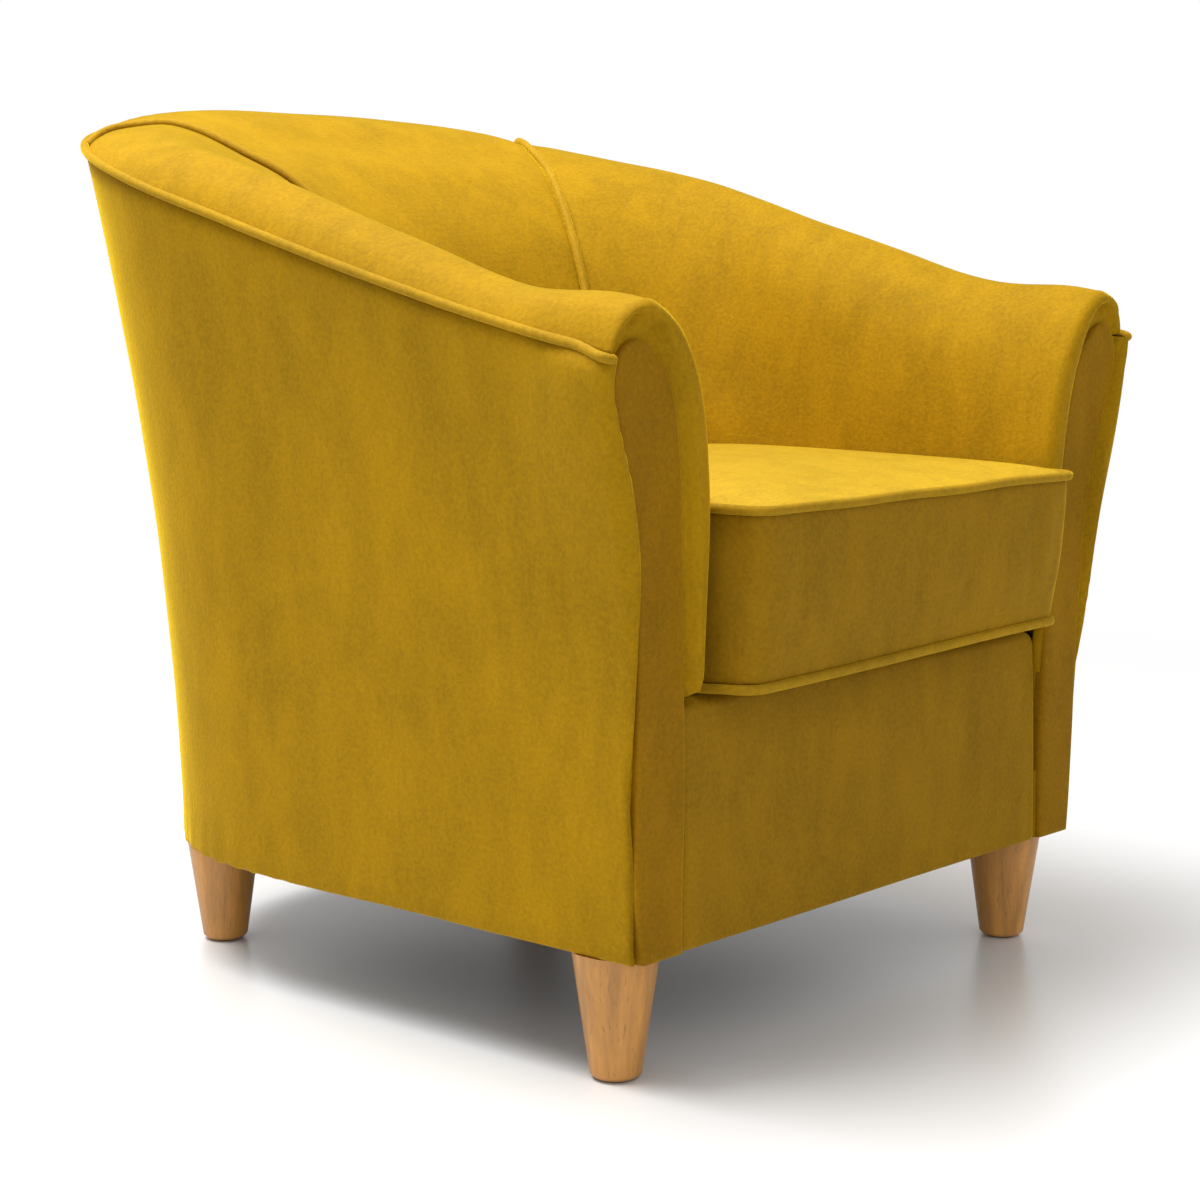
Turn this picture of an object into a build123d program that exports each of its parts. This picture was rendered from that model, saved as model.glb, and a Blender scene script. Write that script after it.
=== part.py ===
from build123d import *

import os
from dataclasses import dataclass, replace
from math import atan2, cos, degrees, hypot, radians, sin, tan

# Upholstered tub chair: a low wrap-around back that sweeps down into flared, rolled arms, a
# loose box cushion, and four tapered round legs. Millimetres, +Z up; the sitter faces -Y.
# Left is the -X side, as seen from in front. Y is counted here from a datum under the seat,
# and every piece is shifted on export, so that the origin is the middle of the footprint.

# ------------------------------------------------------------------ outside form
BODY_BOTTOM = 107.0          # underside of the upholstery above the floor
RIM_HALF_WIDTH = 371.0       # half the width along the rim piping
RIM_BACK = 540.0             # rearmost point of the rim
RIM_ROUND = 341.0            # how far the rounded back of the rim reaches forward
BASE_IN_SIDE = 49.0          # the underside, in from the rim, at the arms
BASE_IN_BACK = 81.0          # the same at the middle of the back
BASE_ROUND_LESS = 34.0       # its rounded back reaches forward this much less
BASE_HALF_WIDTH = RIM_HALF_WIDTH - BASE_IN_SIDE
BASE_BACK = RIM_BACK - BASE_IN_BACK
BASE_ROUND = RIM_ROUND - BASE_ROUND_LESS
RIM_FRONT_HEIGHT = 584.0     # rim piping at the arm fronts
RIM_BACK_HEIGHT = 787.0      # rim piping at the middle of the back
ARM_FRONT = -237.0           # front of the arms' frame at the underside
ARM_LEAN = 26.0              # how much further forward it is at the rim
OUTLINE_POWER = 2.6          # squareness of the rounded back in plan, 2 is an ellipse
FLARE_POWER = 1.75           # the walls stand nearly upright, then flare towards the rim
FLARE_STEPS = 4
# Rounded front edges of the arms: (behind the front, pulled in).
FRONT_ROUNDING = ((0.0, 9.0), (7.0, 3.0), (22.0, 0.0), (50.0, 0.0))

# ------------------------------------------------------------------ roll and inside form
ROLL_RISE = 35.0             # the padded roll above the rim piping
ROLL_STEPS = ((0.035, 0.12), (0.13, 0.37), (0.31, 0.69), (0.6, 0.89))  # (inwards, upwards)
RIDGE_IN_SIDE = 42.0         # ridge of the roll, in from the rim, at the arms
RIDGE_IN_BACK = 93.0         # the same at the middle of the back
RIDGE_STRAIGHT_IN = 49.0     # the ridge's straight stretch ends this much further forward
RIDGE_POWER = 2.9
WELL_IN_SIDE = 75.0          # inside arm at the seat, in from the outside of the underside
WELL_IN_BACK = 285.0         # inside back at the seat, in from the same
WELL_STRAIGHT_IN = 120.0     # the well's straight stretch ends this much further forward
WELL_POWER = 2.0
WELL_FLOOR = 310.3           # where the inside walls meet the seat deck
# The inside from the ridge down to the floor, as shares of the height, of the side inset,
# of the back inset and of the straight inset: a soft roll that becomes a nearly upright wall.
INSIDE_STEPS = (
    (0.023, 0.244, 0.154, 0.153),
    (0.058, 0.451, 0.271, 0.297),
    (0.099, 0.610, 0.396, 0.381),
    (0.168, 0.768, 0.542, 0.492),
    (0.242, 0.872, 0.663, 0.593),
    (0.352, 0.951, 0.780, 0.712),
    (0.515, 1.000, 0.890, 0.847),
    (0.630, 1.000, 0.949, 0.949),
    (0.800, 1.000, 0.986, 0.986),
)
FOAM_SKIP_STEPS = 8          # rows of the inside form above the back of the foam
SEAM_ANGLE_RIM = 36.0        # plan angle of the arm-to-back seam at the rim
SEAM_ANGLE = 46.0            # and everywhere inside the ridge
OUTSIDE_SEAM_ANGLE = 60.0    # upright seams of the outside back, behind the corners
ARM_WEDGE_START = -89.0      # plan angle of a cut that runs out forward, past the arm

# ------------------------------------------------------------------ layers of the wall
GAP = 0.3                    # clearance between neighbouring layers
COVER = 4.0                  # velvet with its thin wadding
LINER = 2.5                  # stiff board behind the outside covers
FOAM = 32.0                  # foam over the inside of the formers
STRAP = 2.0                  # webbing thickness
PIPING_R = 4.0               # velvet piping
PIPING_PROUD = 2.0           # the piping's centre stands outside the seam line
PIPING_STEP = 15             # degrees between the tangent points of curved piping
SEAM_STEPS = (0.5,)    # extra points on the seam behind the cushion
SEAM_RUNS = 16               # straight runs that its path is made of
SEAM_SUNK_PROUD = 0.5        # how proud it stands behind the cushion
SEAM_SINK = 60.0             # the seam piping sinks level with the cover over this height
GROOVE = 10.0                # width left between the inside covers for the seam piping
DUST_COVER_IN = 12.0         # the dust cover is tacked this far in from the edge
DUST_COVER_HOLE = 5.0        # radius
PIPING_END_ROUND = 3.6
RIM_PIPING_FRONT = -280.0    # the rim piping ends in front of the facing
PANEL_T = 18.0               # plywood of the frame
TOP_RAIL_W = 55.0            # bent top rail under the roll
TOP_RAIL_T = 24.0
TOP_RAIL_DROP = 4.3          # top of the rail under the rim piping
TOP_RAIL_JOINT_ANGLE = 50.0  # plan angle of the joints between its three lengths
RIB_ANGLES = (0.0, 40.0, 75.0)   # plan angles of the formers round the wall
FAN_Y = 30.0                 # the wall's cuts fan out from this point behind the arms
FAN_STEP = 15                # degrees between the cuts
OUTLINE_STEP = 9             # degrees between the points of a level outline

# ------------------------------------------------------------------ base and seat frame
BASE_PLATE_W = 90.0
DUST_COVER = 1.0
SEAT_RAIL_W = 26.0
SEAT_RAIL_H = 27.0
DECK_PAD = 16.0
DECK_CLOTH = 1.5
FRONT_FACE = -243.0          # front of the border below the cushion
ARM_FRONT_W = 64.0           # width of an arm front at the underside
FRONT_HALF_WIDTH = BASE_HALF_WIDTH - ARM_FRONT_W     # the border between the arm fronts
FRONT_PAD = 6.0
FRONT_COVER = 2.5
FRONT_BOARD = 15.0
FRONT_ROUND = 9.0            # rounded top edge of the front border
STRAP_W = 55.0
LONG_STRAP_COUNT = 5
CROSS_STRAP_COUNT = 4
BACK_STRAPS = (360.0, 450.0, 540.0)   # heights of the straps behind the inside back
BACK_STRAP_W = 50.0

# ------------------------------------------------------------------ legs
LEG_FRONT_IN = 35.0          # leg centres, in from the outside of the underside
LEG_FRONT_BEHIND = 34.6      # behind the arm front
LEG_REAR_IN = 98.0
LEG_REAR_AHEAD = 101.2       # ahead of the rearmost point of the underside
LEG_FRONT = (BASE_HALF_WIDTH - LEG_FRONT_IN, ARM_FRONT + LEG_FRONT_BEHIND)
LEG_REAR = (BASE_HALF_WIDTH - LEG_REAR_IN, BASE_BACK - LEG_REAR_AHEAD)
LEG_TOP_R = 36.0
LEG_FOOT_R = 21.3
LEG_FOOT_ROUND = 3.0
GLIDE_T = 2.0
GLIDE_R = 14.0
BOLT_R = 4.0
BOLT_IN_LEG = 45.0
BOLT_ABOVE_PLATE = 4.0
BOLT_FIT = 0.05
TEE_BARREL_R = 5.5
TEE_BARREL_L = 12.0
TEE_FLANGE_R = 11.0
TEE_FLANGE_T = 1.5

# ------------------------------------------------------------------ arm facings
FACING_T = 7.5
# (share of the arm's height, in from the outside wall, width) up the tongue-shaped facing
FACING_STEPS = (
    (0.000, 6.0, 55.0),
    (0.290, 9.6, 58.0),
    (0.560, 17.0, 59.0),
    (0.742, 19.0, 60.0),
    (0.860, 9.5, 66.0),
    (0.940, 5.5, 69.0),
)
FACING_TIP = (1.022, 31.0)   # (share of the arm's height, in from the rim)
COVERS_MEET = 1 / 3          # share of the facing's width where the arm's covers meet under it

# ------------------------------------------------------------------ seat cushion
CUSHION_LOW = WELL_FLOOR
CUSHION_T = 150.7            # up to the top piping
CROWN_RISE = 19.0
CUSHION_EDGE = CUSHION_LOW + CUSHION_T
CUSHION_CROWN = CUSHION_EDGE + CROWN_RISE
CUSHION_SIDE_FIT = 6.5       # room between the cushion and the inside arms
CUSHION_BACK_FIT = 8.0       # room between the cushion and the inside back
CUSHION_HALF = BASE_HALF_WIDTH - WELL_IN_SIDE - CUSHION_SIDE_FIT
CUSHION_TAPER = 11.5         # each side comes in this much towards the front
CUSHION_FRONT_HALF = CUSHION_HALF - CUSHION_TAPER
CUSHION_FRONT = -306.0
CUSHION_FRONT_LOW = -291.0   # the front leans in towards its bottom piping
CUSHION_BACK = BASE_BACK - WELL_IN_BACK - CUSHION_BACK_FIT
CUSHION_ROUND = 146.0        # how far its rounded back reaches forward
CUSHION_STRAIGHT = CUSHION_BACK - CUSHION_ROUND
CUSHION_COVER = 3.5
CUSHION_CORNER = 18.0
TOP_PIPING_PROUD = 1.5
BOTTOM_PIPING_PROUD = 0.5
# The crown, as (share of the cushion's half width in from its edge, share of the way up).
CROWN_STEPS = ((0.125, 0.45), (0.312, 0.80), (0.52, 1.0))
CORE_SLACK = 5.0             # the core's crown bears on the cover in its flat middle only
CROWN_SOFTNESS = 0.5         # how fast the crown's corners open out on the way in
ZIP_HEIGHT = 386.0
ZIP_ANGLE = 22.0             # travel of the slider round the curved back of the cushion
ZIP_TAPE_W = 24.0
ZIP_TAPE_T = 1.0
ZIP_TEETH_W = 5.0
ZIP_TEETH_T = 0.8
ZIP_END = 1.5                # tape beyond each end of the travel, degrees
SLIDER_L = 9.0
SLIDER_H = 9.0
SLIDER_T = 1.6
PULL_L = 16.0


# ================================================================== form of the walls
@dataclass
class Ring:
    """Outline of the wall at one level: straight sides and a rounded back, in a plane that
    may rise towards the back."""
    half: float
    front: float
    straight: float
    back: float
    power: float
    z_front: float
    z_back: float

    def slope(self):
        return (self.z_back - self.z_front) / (self.back - ARM_FRONT)

    def at(self, x, y):
        return Vector(x, y, self.z_front + self.slope() * (y - ARM_FRONT))

    def size_along(self, dx, dy, reach):
        """Above 1 outside the rounded back, below 1 inside it."""
        across = abs(dx * reach / self.half)
        behind = max((dy * reach + FAN_Y - self.straight) / (self.back - self.straight), 0.0)
        return across ** self.power + behind ** self.power

    def ray(self, angle):
        """Where a level ray from the fan's centre at a plan angle meets the outline."""
        dx, dy = cos(radians(angle)), sin(radians(angle))
        near, far = 0.0, self.half + self.back
        for _ in range(60):
            middle = (near + far) / 2
            if self.size_along(dx, dy, middle) > 1:
                far = middle
            else:
                near = middle
        return self.at(dx * near, FAN_Y + dy * near)

    def round_point(self, angle):
        """Point of the rounded back at a plan angle about its own centre."""
        c, s = cos(radians(angle)), sin(radians(angle))
        depth = self.back - self.straight
        reach = abs(c / self.half) ** self.power + abs(s / depth) ** self.power
        reach = reach ** (-1 / self.power)
        return self.at(reach * c, self.straight + reach * s)


RING_SIZES = ("half", "front", "straight", "back", "power", "z_front", "z_back")


def between(low, high, share):
    return low + (high - low) * share


def mix(a, b, share):
    """Ring part of the way from one ring to another."""
    return Ring(*(between(getattr(a, n), getattr(b, n), share) for n in RING_SIZES))


def grown(ring, sideways, backwards=None):
    """The same outline made larger, or smaller with a minus sign."""
    backwards = sideways if backwards is None else backwards
    return replace(ring, half=ring.half + sideways, front=ring.front - sideways,
                   back=ring.back + backwards)


def rim_slope():
    return (RIM_BACK_HEIGHT - RIM_FRONT_HEIGHT) / (RIM_BACK - ARM_FRONT)


def rim_ring():
    return Ring(RIM_HALF_WIDTH, ARM_FRONT - ARM_LEAN, RIM_BACK - RIM_ROUND, RIM_BACK,
                OUTLINE_POWER, RIM_FRONT_HEIGHT, RIM_BACK_HEIGHT)


def base_ring():
    return Ring(BASE_HALF_WIDTH, ARM_FRONT, BASE_BACK - BASE_ROUND, BASE_BACK,
                OUTLINE_POWER, BODY_BOTTOM, BODY_BOTTOM)


def wall_ring(share):
    """Outline of the outside at a share of the way from the underside to the rim."""
    flared = mix(base_ring(), rim_ring(), share ** FLARE_POWER)
    level = mix(base_ring(), rim_ring(), share)
    return replace(flared, front=level.front, z_front=level.z_front, z_back=level.z_back)


def ridge_ring():
    back = RIM_BACK - RIDGE_IN_BACK
    height = RIM_FRONT_HEIGHT + rim_slope() * (back - ARM_FRONT) + ROLL_RISE
    return Ring(RIM_HALF_WIDTH - RIDGE_IN_SIDE, ARM_FRONT - ARM_LEAN,
                RIM_BACK - RIM_ROUND - RIDGE_STRAIGHT_IN, back, RIDGE_POWER,
                RIM_FRONT_HEIGHT + ROLL_RISE, height)


def floor_ring():
    base = base_ring()
    return Ring(base.half - WELL_IN_SIDE, ARM_FRONT, base.straight - WELL_STRAIGHT_IN,
                base.back - WELL_IN_BACK, WELL_POWER, WELL_FLOOR, WELL_FLOOR)


def inside_rings():
    """Outlines from the rim over the roll and down the inside to the floor of the well."""
    rim, ridge, floor = rim_ring(), ridge_ring(), floor_ring()
    rings = []
    for inwards, upwards in ROLL_STEPS:
        rings.append(replace(mix(rim, ridge, inwards),
                             z_front=between(rim.z_front, ridge.z_front, upwards),
                             z_back=between(rim.z_back, ridge.z_back, upwards)))
    rings.append(ridge)
    for down, side, back, straight in INSIDE_STEPS:
        rings.append(Ring(between(ridge.half, floor.half, side), ridge.front,
                          between(ridge.straight, floor.straight, straight),
                          between(ridge.back, floor.back, back),
                          between(ridge.power, floor.power, back),
                          between(ridge.z_front, floor.z_front, down),
                          between(ridge.z_back, floor.z_back, down)))
    return rings + [floor]


# ================================================================== upright cuts
@dataclass
class Cut:
    """An upright cut through the right half of the wall. A front cut leans with the arm
    front, an across cut is square to the chair, and a fan cut turns about the fan's centre."""
    kind: str
    place: float
    pull: float = 0.0        # how far the skin is pulled in here, to round the arm front

    def lean(self):
        return ARM_LEAN / (RIM_FRONT_HEIGHT - BODY_BOTTOM) if self.kind == "front" else 0.0

    def outward(self):
        angle = radians(self.place) if self.kind == "fan" else 0.0
        return Vector(cos(angle), sin(angle), 0)

    def up(self):
        return Vector(0, -self.lean(), 1)

    def origin(self):
        if self.kind == "front":
            return Vector(0, ARM_FRONT + self.place, BODY_BOTTOM)
        return Vector(0, self.place if self.kind == "across" else FAN_Y, BODY_BOTTOM)

    def meet(self, ring):
        """Where the cut meets an outline."""
        if self.kind == "fan":
            return ring.ray(self.place)
        if self.kind == "across":
            return ring.at(ring.half, self.place)
        lean = self.lean()
        behind = self.place - lean * (ring.z_front - BODY_BOTTOM)
        return ring.at(ring.half, ARM_FRONT + behind / (1 + lean * ring.slope()))

    def flat(self, point):
        """(inwards, upwards) of a point in the cut."""
        offset = point - self.origin()
        return (-offset.dot(self.outward()), offset.Z)

    def solid_point(self, inwards, upwards):
        return self.origin() - self.outward() * inwards + self.up() * upwards


def cuts():
    """Every cut of the right half, from the arm front to just short of the middle."""
    front = [Cut("front", behind, pull) for behind, pull in FRONT_ROUNDING]
    arm = [Cut("across", between(ARM_FRONT, FAN_Y, share)) for share in (0.4, 0.7)]
    return front + arm + [Cut("fan", a) for a in range(0, 90, FAN_STEP)]


def moved_in(points, depth):
    """A curve's flat points moved square to it, into the padding."""
    moved = []
    for k, (inwards, upwards) in enumerate(points):
        before, after = points[max(k - 1, 0)], points[min(k + 1, len(points) - 1)]
        run, rise = after[0] - before[0], after[1] - before[1]
        length = hypot(run, rise)
        moved.append((inwards + depth * rise / length, upwards - depth * run / length))
    return moved


def wall_curve(cut, low, drop, depth):
    """Up the outside wall, from low above the underside to drop below the rim."""
    height = cut.meet(rim_ring()).Z - BODY_BOTTOM
    shares = [between(low / height, 1 - drop / height, k / FLARE_STEPS)
              for k in range(FLARE_STEPS + 1)]
    return moved_in([cut.flat(cut.meet(wall_ring(s))) for s in shares], depth + cut.pull)


def inside_curve(cut, depth, first=0):
    """Over the roll and down the inside to the floor."""
    points = moved_in([cut.flat(cut.meet(r)) for r in inside_rings()], depth + cut.pull)
    floor = WELL_FLOOR - BODY_BOTTOM
    points[-1] = (points[-1][0], floor)
    return points[first:]


def rail_corners(cut, spare=0.0):
    """Section of the top rail: outer top, inner top, inner bottom, outer bottom."""
    depth = COVER + LINER + 2 * GAP
    top = wall_curve(cut, 0, TOP_RAIL_DROP - spare, depth - spare)[-1]
    low = wall_curve(cut, 0, TOP_RAIL_DROP + TOP_RAIL_T + spare, depth - spare)[-1]
    fall = rim_slope() * cut.outward().Y
    width = TOP_RAIL_W + 2 * spare
    inner_top = (top[0] + width, top[1] - width * fall)
    inner_low = (inner_top[0], inner_top[1] - TOP_RAIL_T - 2 * spare)
    return [top, inner_top, inner_low, low]


def spaced(points):
    """Shares of the way along a row of points, to space a curve's knots alike in all cuts."""
    along = [0.0]
    for a, b in zip(points, points[1:]):
        along.append(along[-1] + hypot(b[0] - a[0], b[1] - a[1]))
    return [s / along[-1] for s in along]


def section_wire(cut, curves, knots, side):
    """Closed section: each curve is a row of flat points, and they are joined by lines."""
    rows = []
    for curve in curves:
        row = [cut.solid_point(*p) for p in curve]
        rows.append([Vector(side * p.X, p.Y, p.Z) for p in row])
    edges = []
    for row, knot, following in zip(rows, knots, rows[1:] + rows[:1]):
        if len(row) == 2:
            edges.append(Edge.make_line(row[0], row[1]))
        elif len(row) > 2:
            edges.append(Edge.make_spline(row, parameters=knot))
        edges.append(Edge.make_line(row[-1], following[0]))
    return Wire(edges)


def wrapped(curves_at):
    """Solid whose section at each cut is given by curves_at, from one arm front round the
    back to the other."""
    reference = curves_at(Cut("fan", 45.0))
    knots = [spaced(curve) if len(curve) > 2 else None for curve in reference]
    right = [section_wire(c, curves_at(c), knots, 1) for c in cuts()]
    left = [section_wire(c, curves_at(c), knots, -1) for c in reversed(cuts())]
    middle = section_wire(Cut("fan", 90.0), curves_at(Cut("fan", 90.0)), knots, 1)
    return Solid.make_loft(right + [middle] + left)


# ================================================================== plan regions
LOW, HIGH = -50.0, 1000.0    # reach of the cutting prisms
FAR = 900.0


def prism(points, low=LOW, high=HIGH):
    """Upright prism over a plan polygon."""
    face = Face(Wire.make_polygon([Vector(x, y, low) for x, y in points]))
    return Solid.extrude(face, Vector(0, 0, high - low))


def block(x1, x2, y1, y2, low=LOW, high=HIGH):
    return prism([(x1, y1), (x2, y1), (x2, y2), (x1, y2)], low, high)


def wedge(start, end, clearance=0.0):
    """Plan region between two rays of the fan, its sides moved in by half the clearance."""
    a, b, middle = radians(start), radians(end), radians((start + end) / 2)
    spread = clearance / 2 / sin((b - a) / 2)
    tip = (spread * cos(middle), FAN_Y + spread * sin(middle))
    rays = [(tip[0] + FAR * cos(t), tip[1] + FAR * sin(t)) for t in (a, middle, b)]
    return prism([tip, *rays])


def across_prism(outline, x1, x2):
    """Prism along X over a side-view outline of (y, z) points."""
    face = Face(Wire.make_polygon([Vector(x1, y, z) for y, z in outline]))
    return Solid.extrude(face, Vector(x2 - x1, 0, 0))


def front_prism(outline):
    """Prism along Y over a front-view outline of (x, z) points."""
    face = Face(Wire.make_polygon([Vector(x, -FAR, z) for x, z in outline]))
    return Solid.extrude(face, Vector(0, 2 * FAR, 0))


def seam_points():
    """The arm-to-back seam on the right, from the rim piping down to the floor."""
    points = []
    for k, ring in enumerate(inside_rings()):
        share = ROLL_STEPS[k][0] if k < len(ROLL_STEPS) else 1.0
        points.append(ring.round_point(between(SEAM_ANGLE_RIM, SEAM_ANGLE, share)))
    knots = spaced(inside_curve(Cut("fan", 45.0), 0))
    fan = [degrees(atan2(p.Y - FAN_Y, p.X)) for p in points[-2:]]
    wall = []
    for share in SEAM_STEPS:
        cut = Cut("fan", between(*fan, share))
        row = [cut.solid_point(*p) for p in inside_curve(cut, 0)]
        wall.append(Edge.make_spline(row, parameters=knots) @ between(*knots[-2:], share))
    return points[:-1] + wall + points[-1:]


def seam_prism(shift):
    """Everything forward of the arm-to-back seam on the right, moved away from the seam."""
    away = Vector(1, -1).normalized() * shift
    seam = seam_points()
    row = [Vector(p.X + away.X, p.Y + away.Y, LOW) for p in seam[:1] + seam[2:]]
    corners = [Vector(0, row[-1].Y, LOW), Vector(0, -FAR, LOW), Vector(FAR, -FAR, LOW),
               Vector(FAR, row[0].Y, LOW)]
    loop = [row[-1], *corners, row[0]]
    edges = [Edge.make_spline(row)] + [Edge.make_line(a, b) for a, b in zip(loop, loop[1:])]
    return Solid.extrude(Face(Wire(edges)), Vector(0, 0, HIGH - LOW))


def back_curves(ring, z):
    """The rounded back of an outline laid level, from the right side to the left."""
    points = [ring.round_point(a) for a in range(0, 91, OUTLINE_STEP)]
    points = [Vector(p.X, p.Y, z) for p in points]
    right = Edge.make_spline(points, tangents=[Vector(0, 1, 0), Vector(-1, 0, 0)])
    return [right, right.mirror(Plane.YZ)]


def level_wire(ring, z, front_half=None):
    """A ring's outline laid level, narrower at the front if need be."""
    half = ring.half if front_half is None else front_half
    right, left = Vector(half, ring.front, z), Vector(-half, ring.front, z)
    start, end = Vector(ring.half, ring.straight, z), Vector(-ring.half, ring.straight, z)
    return Wire([Edge.make_line(right, start), *back_curves(ring, z),
                 Edge.make_line(left, end), Edge.make_line(left, right)])


def level_slab(ring, low, height):
    return Solid.extrude(Face(level_wire(ring, low)), Vector(0, 0, height))


def upright(x, y, radius, low, high):
    """Upright round bar."""
    return Solid.make_cylinder(radius, high - low, Plane((x, y, low)))


# ================================================================== solids in general
def solids_in(result):
    return list(result.solids()) if result else []


def mirrored(solids):
    return [s.mirror(Plane.YZ) for s in solids]


def keep(solids, region):
    return [piece for s in solids for piece in solids_in(s & region)]


def cut_away(solids, *tools):
    for tool in tools:
        solids = [piece for s in solids for piece in solids_in(s - tool)]
    return solids


def joined(first, second):
    return solids_in(first.fuse(second))


# ================================================================== soft layers of the wall
def skin_layer(curve, near, far):
    """A layer that follows a skin between two depths."""
    return [wrapped(lambda cut: [curve(cut, near), curve(cut, far)[::-1]])]


def outside_curve(cut, depth):
    return wall_curve(cut, 0, PIPING_R + GAP, depth)


def foam_section(cut):
    rail = rail_corners(cut, GAP)
    back = inside_curve(cut, FOAM, FOAM_SKIP_STEPS)
    return [inside_curve(cut, COVER + GAP), back[::-1], [rail[2]], [rail[1]], [rail[0]]]


def former_section(cut):
    """What the upright formers fill: from the outside board in to the webbing."""
    rail = rail_corners(cut, GAP)
    inner = inside_curve(cut, FOAM + STRAP + 2 * GAP, FOAM_SKIP_STEPS)
    wall = wall_curve(cut, 0, TOP_RAIL_DROP + TOP_RAIL_T + GAP, COVER + LINER + 2 * GAP)
    return [wall, [rail[2]], inner, [(inner[-1][0], 0.0)]]


def split_at_seams(layer, clearance):
    """(right arm, back) of an inside layer, parted at the arm-to-back seams."""
    arm = keep(layer, seam_prism(clearance / 2))
    forward_part = seam_prism(-clearance / 2)
    return arm, cut_away(layer, forward_part, forward_part.mirror(Plane.YZ))


def split_behind(layer, angle, clearance=GAP):
    """(right side, back) of an outside layer, parted by upright cuts through the fan."""
    side = keep(layer, wedge(ARM_WEDGE_START, angle))
    return side, keep(layer, wedge(angle, 180 - angle, clearance))


def forward(distance):
    """A move square to the leaning arm front, out of it."""
    lean = ARM_LEAN / (RIM_FRONT_HEIGHT - BODY_BOTTOM)
    return Vector(0, -1, -lean).normalized() * distance


def facing_point(share, inset):
    """Point on the right arm's front plane, in from the outside wall."""
    return Cut("front", 0).meet(wall_ring(share)) - Vector(inset, 0, 0)


def facing_middle_x(z):
    """Where the two covers meet under the facing."""
    share, inset, width = FACING_STEPS[0]
    low, high = facing_point(share, inset + width * COVERS_MEET), facing_point(*FACING_TIP)
    return between(low.X, high.X, (z - low.Z) / (high.Z - low.Z))


def arm_cap(inside):
    """Velvet turned round the front edge of the right arm and under the facing."""
    cut = Cut("front", *FRONT_ROUNDING[0])
    middle = Cut("fan", 45.0)
    wall, roll = outside_curve(cut, 0), inside_curve(cut, 0)
    inner = -FRONT_HALF_WIDTH - GAP
    flat = wall + roll + [(inner, roll[-1][1]), (inner, 0.0)]
    points = [cut.solid_point(*p) for p in flat]
    n = len(wall)
    edges = [Edge.make_spline(points[:n], parameters=spaced(outside_curve(middle, 0))),
             Edge.make_spline(points[n:-2], parameters=spaced(inside_curve(middle, 0)))]
    loop = points[-3:] + points[:1]
    edges += [Edge.make_line(a, b) for a, b in zip(loop, loop[1:])]
    edges.append(Edge.make_line(points[n - 1], points[n]))
    plate = Solid.extrude(Face(Wire(edges)), forward(COVER))
    side = 0.0 if inside else FAR
    gap = -GAP if inside else 0.0
    region = [(facing_middle_x(WELL_FLOOR) + gap, WELL_FLOOR), (facing_middle_x(HIGH) + gap, HIGH),
              (side, HIGH)]
    region += [(0, WELL_FLOOR)] if inside else [(FAR, LOW), (0, LOW), (0, WELL_FLOOR - GAP)]
    return keep([plate], front_prism(region))[0]


def facing():
    """Tongue-shaped padded panel on the right arm front."""
    inner = [facing_point(share, inset + width) for share, inset, width in FACING_STEPS]
    outer = [facing_point(share, inset) for share, inset, width in FACING_STEPS]
    row = inner + [facing_point(*FACING_TIP)] + outer[::-1]
    wire = Wire([Edge.make_spline(row), Edge.make_line(row[-1], row[0])])
    face = Face(wire).moved(Location(forward(COVER + GAP)))
    return [Solid.extrude(face, forward(FACING_T))]


def tube(points, closed=False, corner=None):
    """Piping along straight runs joined by tangent arcs: as large as the runs allow, or of
    the corner radius where the path turns sharply."""
    count = len(points)
    corners = range(count) if closed else range(1, count - 1)
    radii = []
    for k in corners:
        before, after = points[k] - points[k - 1], points[(k + 1) % count] - points[k]
        turn = before.get_angle(after)
        widest = 0.49 * min(before.length, after.length) / tan(radians(turn / 2))
        radii.append(corner if corner and turn > 60 else widest)
    path = FilletPolyline(*points, radius=radii, close=closed).wire()
    start = Plane(path @ 0, z_dir=path % 0)
    return Solid.sweep(Face(Wire.make_circle(PIPING_R, start)), path)


def tangent_corners(curve, stops):
    """Corner points of the straight runs that touch a curve at the stops."""
    touching = []
    for t in stops:
        small = 0.001 * (stops[-1] - stops[0])
        run = curve(min(t + small, stops[-1])) - curve(max(t - small, stops[0]))
        touching.append((curve(t), run.normalized()))
    corners = []
    for (p, u), (q, v) in zip(touching, touching[1:]):
        apart, turn = q - p, u.dot(v)
        if turn > 0.99999:
            continue
        along = (apart.dot(u) - turn * apart.dot(v)) / (1 - turn * turn)
        back = (turn * apart.dot(u) - apart.dot(v)) / (1 - turn * turn)
        corners.append((p + u * along + q + v * back) * 0.5)
    return corners


def rim_piping():
    ring = grown(rim_ring(), PIPING_PROUD)
    front = ring.at(ring.half, RIM_PIPING_FRONT)
    curve = tangent_corners(ring.round_point, range(0, 181, PIPING_STEP))
    ends = [front, Vector(-front.X, front.Y, front.Z)]
    piping = tube(ends[:1] + curve + ends[1:])
    circles = [e for e in piping.edges().filter_by(GeomType.CIRCLE)
               if min((e.arc_center - end).length for end in ends) < GAP]
    return [piping.fillet(PIPING_END_ROUND, circles)]


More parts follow.
